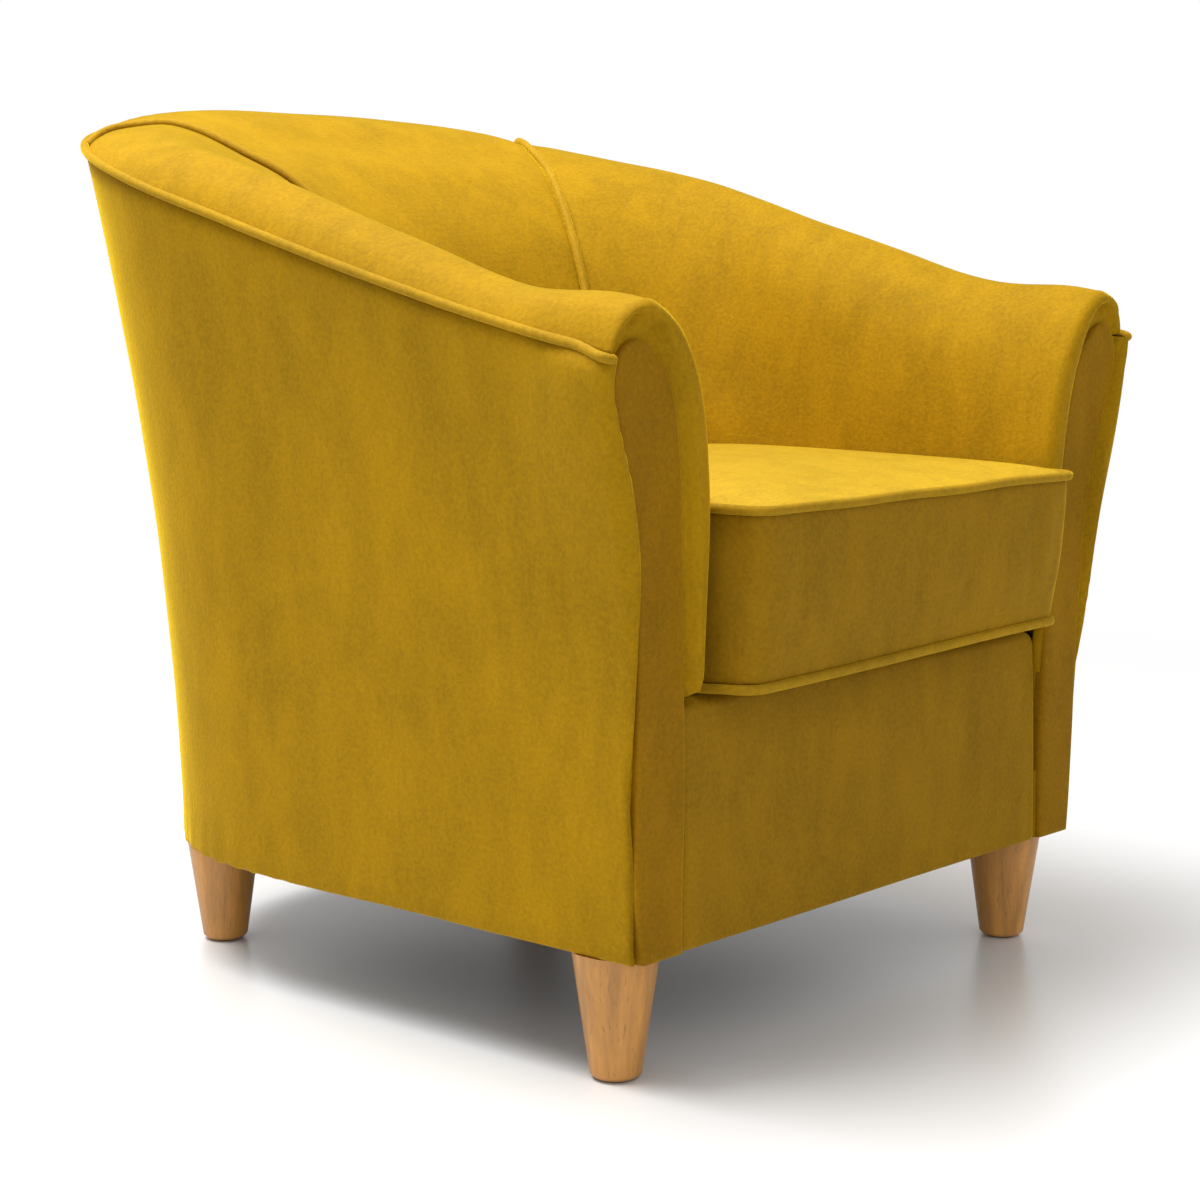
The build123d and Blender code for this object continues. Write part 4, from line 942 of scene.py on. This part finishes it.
def build_inside():
    arm, back = inside_grids()
    arm_sign, back_sign = -out_sign(arm), -out_sign(back, (0, 0.0, 0.5))
    pieces = []
    for name, grid, sign, seed, nodes in (
            ("arm_velvet_right", arm, arm_sign, 21, ("inside_arm_right", "arm_foam_right")),
            ("arm_velvet_left", flip_x(arm), -arm_sign, 22, ("inside_arm_left", "arm_foam_left")),
            ("back_velvet", back, back_sign, 23, ("inside_back", "back_foam"))):
        grid = inside_relief(grid, grid_normals(grid) * sign, seed)
        grid = tuck_edges(grid, grid_normals(grid) * sign, both=name == "back_velvet")
        pieces.append(skin(f"inside_{name}", grid, "velvet", sign < 0, nodes))
    return pieces


# ================================================================== piping
RIM_PIPING_PROUD = 0.0005            # its centre outside the wall
RIM_PIPING_FROM = -0.262             # y where it begins to turn in
# How it turns in at the arm's front: (x from the rim, y) of its last points.
PIPING_END = ((0.0006, -0.2660), (-0.0012, -0.2700), (-0.0034, -0.2728), (-0.0066, -0.2738))


def rim_path():
    """The rim from the right arm's front, where the piping turns in, to the left one's."""
    ring = rim_ring()
    straight = np.linspace(RIM_PIPING_FROM, ring.straight, 44)[:-1]
    half = [ring.at(ring.half, y) for y in straight]
    half = np.array(half + [ring.round_point(a) for a in np.linspace(0, 90, 60)])
    half += unit(np.cross(np.gradient(half, axis=0), (0, 0, 1.0))) * RIM_PIPING_PROUD
    turn = np.array([ring.at(ring.half + dx, y) for dx, y in PIPING_END[::-1]])
    half = puff_out(np.vstack([turn, half]))
    half[:, 2] += read_along(RIM_RISE, half[:, 1]) + ripple(half, 40, 0.12) * 0.0006
    return np.vstack([half, flip_x(half[-2::-1])])


def seam_path():
    """Line of the right arm-to-back seam, sunk a little more low down than on the roll."""
    arm = inside_grids()[0]
    line = arm[:, -1].copy()
    rise = -0.0020 + 0.0012 * smooth(0.47, 0.54, line[:, 2])
    line -= grid_normals(arm)[:, -1] * out_sign(arm) * rise[:, None]
    return line[line[:, 2] > WELL_FLOOR + PIPING_R][1:]


def build_piping():
    path = seam_path()
    pieces = []
    for name, points, seed in (("rim_piping", rim_path(), 3), ("seam_piping_right", path, 4),
                               ("seam_piping_left", flip_x(path), 4)):
        velvet_name = name.replace("piping", "piping_velvet")
        pieces.append(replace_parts(tube(velvet_name, points, "velvet_piping", seed=seed), name))
    return pieces


# ================================================================== arm facings
# The facing's edge and face: (share of the way in, share of the way forward from its seam).
FACING_ROWS = ((0.0, -0.8), (0.0, 0.0), (0.006, 0.34), (0.025, 0.62), (0.055, 0.82),
               (0.10, 0.93), (0.17, 0.985), (0.30, 1.0), (0.55, 1.0), (0.8, 1.0), (1.0, 1.0))
FACING_LOW, FACING_HIGH = 0.1085, 0.566   # ends of its middle line
FACING_MIDDLE = (0.2915, 0.3375)          # x of these ends


def build_facings():
    """Padded tongues: the face is a little full and its edge sinks to the seam."""
    outline = facing_outline()
    height = np.clip(outline[:, 1], FACING_LOW, FACING_HIGH)
    share = (height - FACING_LOW) / (FACING_HIGH - FACING_LOW)
    centre = np.stack([between(*FACING_MIDDLE, share ** 1.7), height], axis=1)
    rows = []
    for inwards, ahead in FACING_ROWS:
        x, z = between(outline, centre, inwards).T
        rows.append(np.stack([x, face_y(z) + SEAM_DEPTH * (1 - ahead), z], axis=1))
    grid = np.array(rows)
    grid[3:, :, 1] -= waves(grid[3:], 31, ((0.0006, 0.10, 0),))
    faces = grid_faces(*grid.shape[:2], around=True)
    pieces = []
    for side, points in (("right", grid), ("left", flip_x(grid))):
        # The facings take the darkest copy of the velvet, painted shade.
        piece = add_mesh(f"facing_velvet_{side}", points.reshape(-1, 3), faces, "velvet_facing")
        face_front(piece)
        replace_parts(piece, f"arm_facing_{side}")
        pieces.append(piece)
    return pieces


# ================================================================== front border
# How its sides round off: (width, depth) in front, and at the top corners.
BORDER_EDGE, BORDER_CORNER = (0.010, 0.007), (0.018, 0.013)
BORDER_BELLY = 0.0022
BORDER_WAVES = ((0.0008, 0.15, 0),)


def rounding(inside, edge):
    """How far a padded edge falls away at a distance inside it."""
    width, depth = edge
    return depth * (1 - np.sqrt(1 - (1 - np.minimum(inside / width, 1.0)) ** 2))


def build_border():
    """Padded panel below the cushion: up the front, over the rounded edge and back. Its left
    edge turns back into the chair."""
    r = BORDER_ROUND
    profile = [(BORDER_BACK, 0.1095), (BORDER_FRONT_LOW + 0.003, 0.1075),
               (BORDER_FRONT_LOW + 0.0006, 0.1082)]
    profile += [(between(BORDER_FRONT_LOW, BORDER_FRONT, s), between(0.112, BORDER_TOP - r, s))
                for s in np.linspace(0, 1, 22)]
    profile += arc((BORDER_FRONT + r, BORDER_TOP - r), (-r, r), np.linspace(15, 90, 7))
    back = np.linspace(BORDER_FRONT + r + 0.004, BORDER_BACK + 0.01, 4)
    profile += [(y, BORDER_TOP) for y in back]
    xs = BORDER_HALF * np.sin(np.linspace(-0.5, 0.5, 110) * math.pi)
    grid = np.array([[(x, y, z) for x in xs] for y, z in profile])
    inside = BORDER_HALF - np.abs(grid[..., 0])
    top = smooth(BORDER_TOP - 0.05, BORDER_TOP, grid[..., 2])
    grid[..., 1] += rounding(inside, BORDER_EDGE)
    grid[..., 2] -= rounding(inside, BORDER_CORNER) * top
    belly = np.sin(np.clip((grid[..., 2] - 0.108) / 0.2, 0, 1) * math.pi)
    belly *= BORDER_BELLY * np.minimum(inside / BORDER_EDGE[0], 1.0)
    grid[..., 1] -= belly + waves(grid, 51, BORDER_WAVES)
    left = grid[:, :1] + np.array((0, TUCK_DEPTH, 0))
    left = np.where(left[..., 1:2] > BORDER_BACK, grid[:, :1], left)
    grid = np.concatenate([left, grid], axis=1)
    faces = grid_faces(*grid.shape[:2])
    # The border takes the darker copy of the velvet, painted shade on a face turned away from the
    # lamp.
    piece = add_mesh("front_border_velvet", grid.reshape(-1, 3), faces, "velvet_shade")
    face_front(piece)
    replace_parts(piece, "front_border", "front_border_pad")
    return [piece]


# ================================================================== cushion
CUSHION_POINTS = 240                 # round the cushion
BORDER_FULL = 0.0022                 # how far its border swells between the seams
BOTTOM_SHARES = (0.25, 0.5, 0.75, 0.93)
CROWN_SHARES = (0.985, 0.96, 0.92, 0.86, 0.78, 0.68, 0.56, 0.42, 0.28, 0.14)
# Wrinkles down the cushion's border: (x of the top end, x of the bottom end, depth).
BORDER_WRINKLES = ((-0.19, -0.175, 0.0020), (-0.12, -0.13, 0.0014), (-0.02, -0.01, 0.0012),
                   (0.07, 0.055, 0.0016), (0.16, 0.17, 0.0020), (0.205, 0.20, 0.0014))
WRINKLE_TOP, WRINKLE_LOW, WRINKLE_WIDTH = 0.452, 0.325, 0.007
WRINKLE_HEIGHTS = (0.33, 0.45)       # they fade beyond these
CUSHION_WAVES = ((0.0016, 0.20, 0),)
# How far the lower front edge lifts: (on the left, on the right), over what depth and height.
FRONT_LIFT, LIFT_FROM, LIFT_TO, LIFT_HEIGHT = (0.0035, 0.0115), -0.215, -0.288, 0.10
# The stuffed cushion: pressure, furthest move, frames, and size of the even faces.
PRESSURE, MOVE_CAP, FRAMES, VOXEL = 4.0, 0.007, 20, 0.006


def cushion_outline(proud, height, count=CUSHION_POINTS):
    """Points round the cushion at a height, evenly spaced from the front's middle."""
    up = min((height - CUSHION_LOW) / (CUSHION_EDGE - CUSHION_LOW), 1.0)
    front = between(CUSHION_FRONT_LOW, CUSHION_FRONT, up) - proud
    half, wide = CUSHION_FRONT_HALF + proud, CUSHION_HALF + proud
    corner = CUSHION_CORNER + proud
    depth = CUSHION_BACK + proud - CUSHION_STRAIGHT
    points = [(x, front) for x in np.linspace(0, half - corner, 14)]
    points += arc((half - corner, front + corner), (corner, corner), np.linspace(-90, 0, 9)[1:-1])
    points += [(between(half, wide, s), between(front + corner, CUSHION_STRAIGHT, s))
               for s in np.linspace(0, 1, 16)]
    points += arc((0.0, CUSHION_STRAIGHT), (wide, depth), np.linspace(0, 90, 26)[1:])
    half_row = np.array(points)
    loop = np.vstack([half_row, flip_x(half_row[-2:0:-1]), half_row[:1]])
    return np.column_stack([spaced(loop, count, closed=True), np.full(count, height)])


def cushion_form():
    """Closed cushion: flat bottom, border, crowned top, its walls a little full."""
    middle = np.array((0.0, CUSHION_MIDDLE, 0.0))

    def towards_middle(height, share, up):
        p = middle + (cushion_outline(0, height) - middle) * share
        p[:, 2] = height + up
        return p

    rows = [towards_middle(CUSHION_LOW, k, 0.0012) for k in BOTTOM_SHARES]
    rows += [cushion_outline(BORDER_FULL * math.sin(math.pi * s),
                             between(CUSHION_LOW + 0.004, CUSHION_EDGE, s))
             for s in np.linspace(0, 1, 16)]
    rise = CUSHION_CROWN - CUSHION_EDGE
    rows += [towards_middle(CUSHION_EDGE, k, rise * (1 - k ** 3.2) ** 0.75) for k in CROWN_SHARES]
    return np.array(rows)


def front_lift(points):
    """The cushion's lower front edge stands off the border, more towards the right."""
    ahead = smooth(LIFT_FROM, LIFT_TO, points[..., 1])
    low = 1 - smooth(CUSHION_LOW, CUSHION_LOW + LIFT_HEIGHT, points[..., 2])
    return ahead * low * between(*FRONT_LIFT, smooth(-0.24, 0.24, points[..., 0]))


def held(co):
    """Points of the cushion that its seams and the deck hold."""
    y = co.y - DATUM_Y
    off_seam = min(abs(co.z - s) for s in (CUSHION_LOW + 0.004, CUSHION_EDGE))
    near_edge = abs(co.x) > 0.20 or y < CUSHION_FRONT + 0.03 or y > 0.06
    return (off_seam < 0.005 and near_edge) or co.z < CUSHION_LOW + 0.004


def inflate(piece):
    """Swell the cushion as stuffed cloth: held points stay, and none moves past the cap. The
    result is applied to the mesh."""
    scene = bpy.context.scene
    work = piece.copy()
    work.data = piece.data.copy()
    scene.collection.objects.link(work)
    bpy.context.view_layer.objects.active = work
    remesh = work.modifiers.new("even faces", "REMESH")
    remesh.mode = "VOXEL"
    remesh.voxel_size = VOXEL
    bpy.ops.object.modifier_apply(modifier=remesh.name)
    start = [v.co.copy() for v in work.data.vertices]
    pins = work.vertex_groups.new(name="held")
    pins.add([i for i, co in enumerate(start) if held(co)], 1.0, "REPLACE")
    cloth = work.modifiers.new("stuffing", "CLOTH")
    cloth.settings.use_pressure = True
    cloth.settings.uniform_pressure_force = PRESSURE
    cloth.settings.effector_weights.gravity = 0
    cloth.settings.vertex_group_mass = "held"
    cloth.settings.quality = 6
    cloth.point_cache.frame_start, cloth.point_cache.frame_end = 1, FRAMES
    for frame in range(1, FRAMES + 1):
        scene.frame_set(frame)
    shape = work.evaluated_get(bpy.context.evaluated_depsgraph_get()).data
    ended = [v.co.copy() for v in shape.vertices]
    work.modifiers.remove(cloth)
    for vertex, a, b in zip(work.data.vertices, start, ended):
        move = b - a
        if move.length > MOVE_CAP:
            move *= MOVE_CAP / move.length
        vertex.co = a + move
    scene.frame_set(1)
    old = piece.data
    piece.data = work.data
    bpy.data.objects.remove(work)
    bpy.data.meshes.remove(old)
    smooth_shade(piece.data)
    piece.vertex_groups.clear()
    soft = piece.modifiers.new("soft", "SUBSURF")
    soft.levels = soft.render_levels = 1
    for _ in range(2):
        edit_mesh(piece, lambda mesh: bmesh.ops.smooth_vert(
            mesh, verts=mesh.verts, factor=0.5, use_axis_x=True, use_axis_y=True,
            use_axis_z=True))


def sort_cushion_faces(piece):
    """Top, border and bottom take their own finishes."""
    mesh = piece.data
    mesh.materials.clear()
    for slot in ("velvet_seat", "velvet_shade", "lining_cloth"):
        mesh.materials.append(finish_for(slot))
    for face in mesh.polygons:
        z = face.center.z
        face.material_index = (z <= CUSHION_EDGE - 0.0005) + (z <= CUSHION_LOW + 0.0035)


def relieve_cushion(piece):
    """Unevenness, wrinkles down the border and the lifted front edge."""
    co = np.array([v.co[:] for v in piece.data.vertices])
    co[:, 1] -= DATUM_Y
    normal = np.array([v.normal[:] for v in piece.data.vertices])
    lift = waves(co, 61, CUSHION_WAVES)
    off_border = np.abs(co[:, 2] - np.clip(co[:, 2], *WRINKLE_HEIGHTS))
    side = smooth(0.02, 0.0, off_border) * (np.abs(normal[:, 2]) < 0.6)
    for top, low, depth in BORDER_WRINKLES:
        lift -= side * depth * crease(co, (top, CUSHION_FRONT, WRINKLE_TOP),
                                      (low, CUSHION_FRONT_LOW, WRINKLE_LOW), WRINKLE_WIDTH)
    co += normal * lift[:, None]
    co[:, 2] = np.maximum(co[:, 2], CUSHION_LOW + 0.0008)
    co[:, 2] += front_lift(co)
    co[:, 1] += DATUM_Y
    for vertex, place in zip(piece.data.vertices, co):
        vertex.co = place
    piece.data.update()


def build_cushion():
    # Its velvet is the lighter copy, painted light on the top; the border then takes the
    # painted-shade copy.
    piece = closed_grid("cushion_velvet", cushion_form(), "velvet_seat", "seat_cushion")
    inflate(piece)
    sort_cushion_faces(piece)
    relieve_cushion(piece)
    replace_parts(piece, "cushion_core", "cushion_top", "cushion_bottom", "cushion_border")
    pieces = [piece]
    for end, height, proud, seed, uneven in (
            ("top", CUSHION_EDGE, TOP_PIPING_PROUD, 71, 0.0014),
            ("bottom", CUSHION_LOW + 0.0043, BOTTOM_PIPING_PROUD, 72, 0.0)):
        path = cushion_outline(proud, height, 300)
        path[:, 2] += front_lift(path)
        path[:, 2] += ripple(path, seed, 0.13) * uneven
        piping = tube(f"cushion_piping_velvet_{end}", path, "velvet_piping", "seat_cushion",
                      closed=True, seed=seed)
        pieces.append(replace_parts(piping, f"cushion_piping_{end}"))
    return pieces


# ================================================================== deck and frame
DECK_SHARES = (1.0, 0.97, 0.9, 0.8, 0.65, 0.5, 0.35, 0.2, 0.08)
DECK_MIDDLE = np.array((0.0, -0.03, 0.0))


def build_deck():
    """Cloth over the deck under the cushion, drawn down a little between its edges."""
    ring = floor_ring()
    edge = [ring.at(x, BORDER_BACK + 0.0005) for x in np.linspace(-ring.half, ring.half, 41)]
    edge += [ring.at(ring.half, y) for y in np.linspace(BORDER_BACK, ring.straight, 16)[1:]]
    edge += [ring.round_point(a) for a in np.linspace(0, 180, 60)[1:]]
    edge += [ring.at(-ring.half, y) for y in np.linspace(ring.straight, BORDER_BACK, 16)[1:-1]]
    edge = np.array(edge)
    rows = []
    for k in DECK_SHARES:
        p = DECK_MIDDLE + (edge - DECK_MIDDLE) * k
        p[:, 2] = WELL_FLOOR - 0.0008 - 0.004 * (1 - k ** 2) + 0.0006 * ripple(p, 81, 0.1)
        rows.append(p)
    piece = closed_grid("seat_deck_cloth", np.array(rows), "lining_cloth", both_ends=False)
    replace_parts(piece, "seat_deck", "seat_deck_pad")
    return [piece]


# Finishes of the nodes that keep their own shape, by how their names start; first match.
NODE_FINISHES = (
    ("dust_cloth", ("dust_cover",)),
    ("glide_plastic", ("leg_glides",)),
    ("fastener_steel", ("leg_hanger_bolts", "leg_tee_nuts")),
    ("leg_wood", ("leg_",)),
    ("plywood", ("base_plate", "arm_front_board", "arm_former", "corner_former", "back_former")),
    ("frame_wood", ("front_board", "top_rail", "seat_rail")),
    ("stiff_board", ("outside_back_board", "outside_arm_board")),
    ("webbing", ("back_straps", "seat_straps")),
    ("zip_tape", ("zip_tape",)),
    ("zip_metal", ("zip_slider",)),
)
SHARP_ANGLE = math.radians(32)


def dress_frame():
    """Finishes for the nodes that keep their own shape."""
    for name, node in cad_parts.items():
        if node.hide_render:
            continue
        slots = [slot for slot, starts in NODE_FINISHES if name.startswith(starts)]
        if not slots:
            raise RuntimeError(f"no finish is set for {name}")
        material = finish_for(slots[0])
        if not node.material_slots:
            node.data.materials.append(material)
        for place in node.material_slots:
            place.material = material
        smooth_shade(node.data)
        node.data.set_sharp_from_angle(angle=SHARP_ANGLE)


# ================================================================== stage
FLOOR_SIZE = 9.0
FLOOR_REAL, FLOOR_WHITE = 0.9, 2.3   # the floor fades to plain white between these distances


def add_to_scene(name, data):
    piece = bpy.data.objects.new(name, data)
    bpy.context.scene.collection.objects.link(piece)
    return piece


def add_light(name, place, aim, size, power):
    data = bpy.data.lights.new(name, "AREA")
    data.shape = "RECTANGLE"
    data.size, data.size_y = size
    data.energy = power
    light = add_to_scene(name, data)
    light.location = place
    light.rotation_euler = (Vector(aim) - Vector(place)).to_track_quat("-Z", "Y").to_euler()


def white_to_camera(tree, shader, output, share=1.0):
    """Seen by the camera, or through gloss, the surface is white; it lights as itself."""
    nodes = Nodes(tree)
    path = nodes.node("ShaderNodeLightPath").outputs
    mirrored = nodes.maths("MAXIMUM", path["Is Glossy Ray"], path["Is Transmission Ray"])
    seen = nodes.maths("MAXIMUM", path["Is Camera Ray"], mirrored)
    world = output.bl_idname == "ShaderNodeOutputWorld"
    white = nodes.node("ShaderNodeBackground" if world else "ShaderNodeEmission",
                       {"Color": (1, 1, 1, 1), "Strength": 1.0})
    blend = nodes.node("ShaderNodeMixShader", {0: nodes.maths("MULTIPLY", seen, share),
                                               1: shader, 2: white.outputs[0]})
    nodes.put(output.inputs["Surface"], blend.outputs[0])


def build_floor():
    """Pale floor that shades near the chair and fades into the white background."""
    mesh = bpy.data.meshes.new("floor")
    corners = ((-1, -1), (1, -1), (1, 1), (-1, 1))
    mesh.from_pydata([(x * FLOOR_SIZE, y * FLOOR_SIZE, 0) for x, y in corners], [], [(0, 1, 2, 3)])
    floor = add_to_scene("floor", mesh)
    made = Shader("floor")
    grey = made.mixed(made.noise(2.0, 2.0), (0.74, 0.74, 0.74, 1), (0.78, 0.78, 0.78, 1))
    made.set(Base_Color=grey, Roughness=0.30, Specular_IOR_Level=0.35)
    away = made.node("ShaderNodeVectorMath", {0: made.place}, operation="LENGTH")
    far = made.ranged(away.outputs["Value"], FLOOR_REAL, FLOOR_WHITE)
    output = made.tree.nodes["Material Output"]
    white_to_camera(made.tree, made.surface.outputs[0], output, far)
    mesh.materials.append(made.material)


def build_world(strength):
    world = bpy.data.worlds.new("studio")
    bpy.context.scene.world = world
    world.use_nodes = True
    tree = world.node_tree
    light = tree.nodes["Background"]
    light.inputs["Color"].default_value = (1.0, 0.98, 0.96, 1)
    light.inputs["Strength"].default_value = strength
    white_to_camera(tree, light.outputs[0], tree.nodes["World Output"])


def build_camera():
    data = bpy.data.cameras.new("camera")
    data.sensor_width = SENSOR
    data.lens = CAMERA_LENS
    data.clip_end = 50
    camera = add_to_scene("camera", data)
    x, y, z = CAMERA_PLACE
    camera.location = (x, y + DATUM_Y, z)
    camera.rotation_euler = Euler((math.pi / 2 + CAMERA_PITCH, 0, CAMERA_TURN))
    bpy.context.scene.camera = camera


def build_stage():
    look = bpy.context.scene.tub_chair_look
    build_floor()
    build_world(look.fill_light)
    add_light("key", (-0.7, 0.5, 3.0), (0, 0.0, 0.3), (1.9, 1.9), look.key_light)
    add_light("front fill", (-1.6, -2.8, 1.9), (0, 0, 0.35), (2.5, 2.0), look.front_light)
    bpy.context.scene.view_settings.view_transform = "Standard"
    build_camera()


# ================================================================== panel and operators
def colour_choice(name, words, default):
    return FloatVectorProperty(name=name, description=f"Colour of the {words}", subtype="COLOR",
                               size=3, min=0, max=1, default=default)


def light_choice(name, words, default, **more):
    return FloatProperty(name=name, description=words, default=default, min=0, **more)


class TubChairLook(bpy.types.PropertyGroup):
    """Colours and light of the chair."""
    velvet: colour_choice("Velvet", "arms and back", (0.590, 0.445, 0.012))
    # Lighter copy of the velvet: painted light on the cushion's top.
    velvet_seat: colour_choice("Seat velvet", "cushion's top", (0.700, 0.560, 0.130))
    # Darker copy of the velvet: painted shade on the front-facing borders.
    velvet_shade: colour_choice("Border velvet", "cushion and front borders",
                                (0.540, 0.400, 0.035))
    # Darkest copy of the velvet: painted shade on the arm facings.
    velvet_facing: colour_choice("Facing velvet", "arm facings", (0.525, 0.375, 0.010))
    velvet_piping: colour_choice("Piping velvet", "piping", (0.600, 0.460, 0.070))
    legs: colour_choice("Legs", "turned legs", (0.74, 0.52, 0.24))
    fill_light: light_choice("Fill light", "Strength of the even light", 0.60)
    key_light: light_choice("Key light", "Power of the large lamp above", 150.0, unit="POWER")
    front_light: light_choice("Front light", "Power of the lamp in front", 18.0, unit="POWER")


def operator(name, label, words, work):
    """An operator that builds one piece or group of like pieces."""
    def execute(self, context):
        for piece in work() or ():
            if piece.name != "cushion_velvet":     # it has its finishes already
                dress(piece)
        return {"FINISHED"}

    return type(f"TUBCHAIR_OT_{name}", (bpy.types.Operator,),
                {"bl_idname": f"tub_chair.{name}", "bl_label": label, "__doc__": words,
                 "execute": execute})


OPERATORS = (
    operator("outside", "Outside velvet", "Velvet on the outside of the arms and back",
             build_outside),
    operator("inside", "Inside velvet", "Padded velvet of the roll, inside arms and inside back",
             build_inside),
    operator("piping", "Piping", "Piping along the rim and down the arm seams", build_piping),
    operator("facings", "Arm facings", "Padded panels on the arm fronts", build_facings),
    operator("border", "Front border", "Padded panel below the cushion", build_border),
    operator("cushion", "Seat cushion", "Loose cushion with its piping", build_cushion),
    operator("deck", "Seat deck", "Cloth deck under the cushion", build_deck),
    operator("frame", "Frame and legs", "Finishes of the legs, frame and fittings", dress_frame),
    operator("stage", "Stage", "Floor, light and camera", build_stage),
)


class TUBCHAIR_PT_panel(bpy.types.Panel):
    """Lists the colours and the pieces of the chair"""
    bl_label = "Tub Chair"
    bl_space_type = "VIEW_3D"
    bl_region_type = "UI"
    bl_category = "Tub Chair"

    def draw(self, context):
        look = context.scene.tub_chair_look
        for name in look.bl_rna.properties.keys():
            if name not in ("rna_type", "name"):
                self.layout.prop(look, name)
        for made in OPERATORS:
            self.layout.operator(made.bl_idname)


CLASSES = (TubChairLook, *OPERATORS, TUBCHAIR_PT_panel)


def register():
    for made in CLASSES:
        bpy.utils.register_class(made)
    bpy.types.Scene.tub_chair_look = PointerProperty(type=TubChairLook)


def unregister():
    del bpy.types.Scene.tub_chair_look
    for made in reversed(CLASSES):
        bpy.utils.unregister_class(made)


def main():
    register()
    for made in OPERATORS:
        getattr(bpy.ops.tub_chair, made.bl_idname.split(".")[1])()
    bpy.context.view_layer.update()


if __name__ == "__main__":
    main()
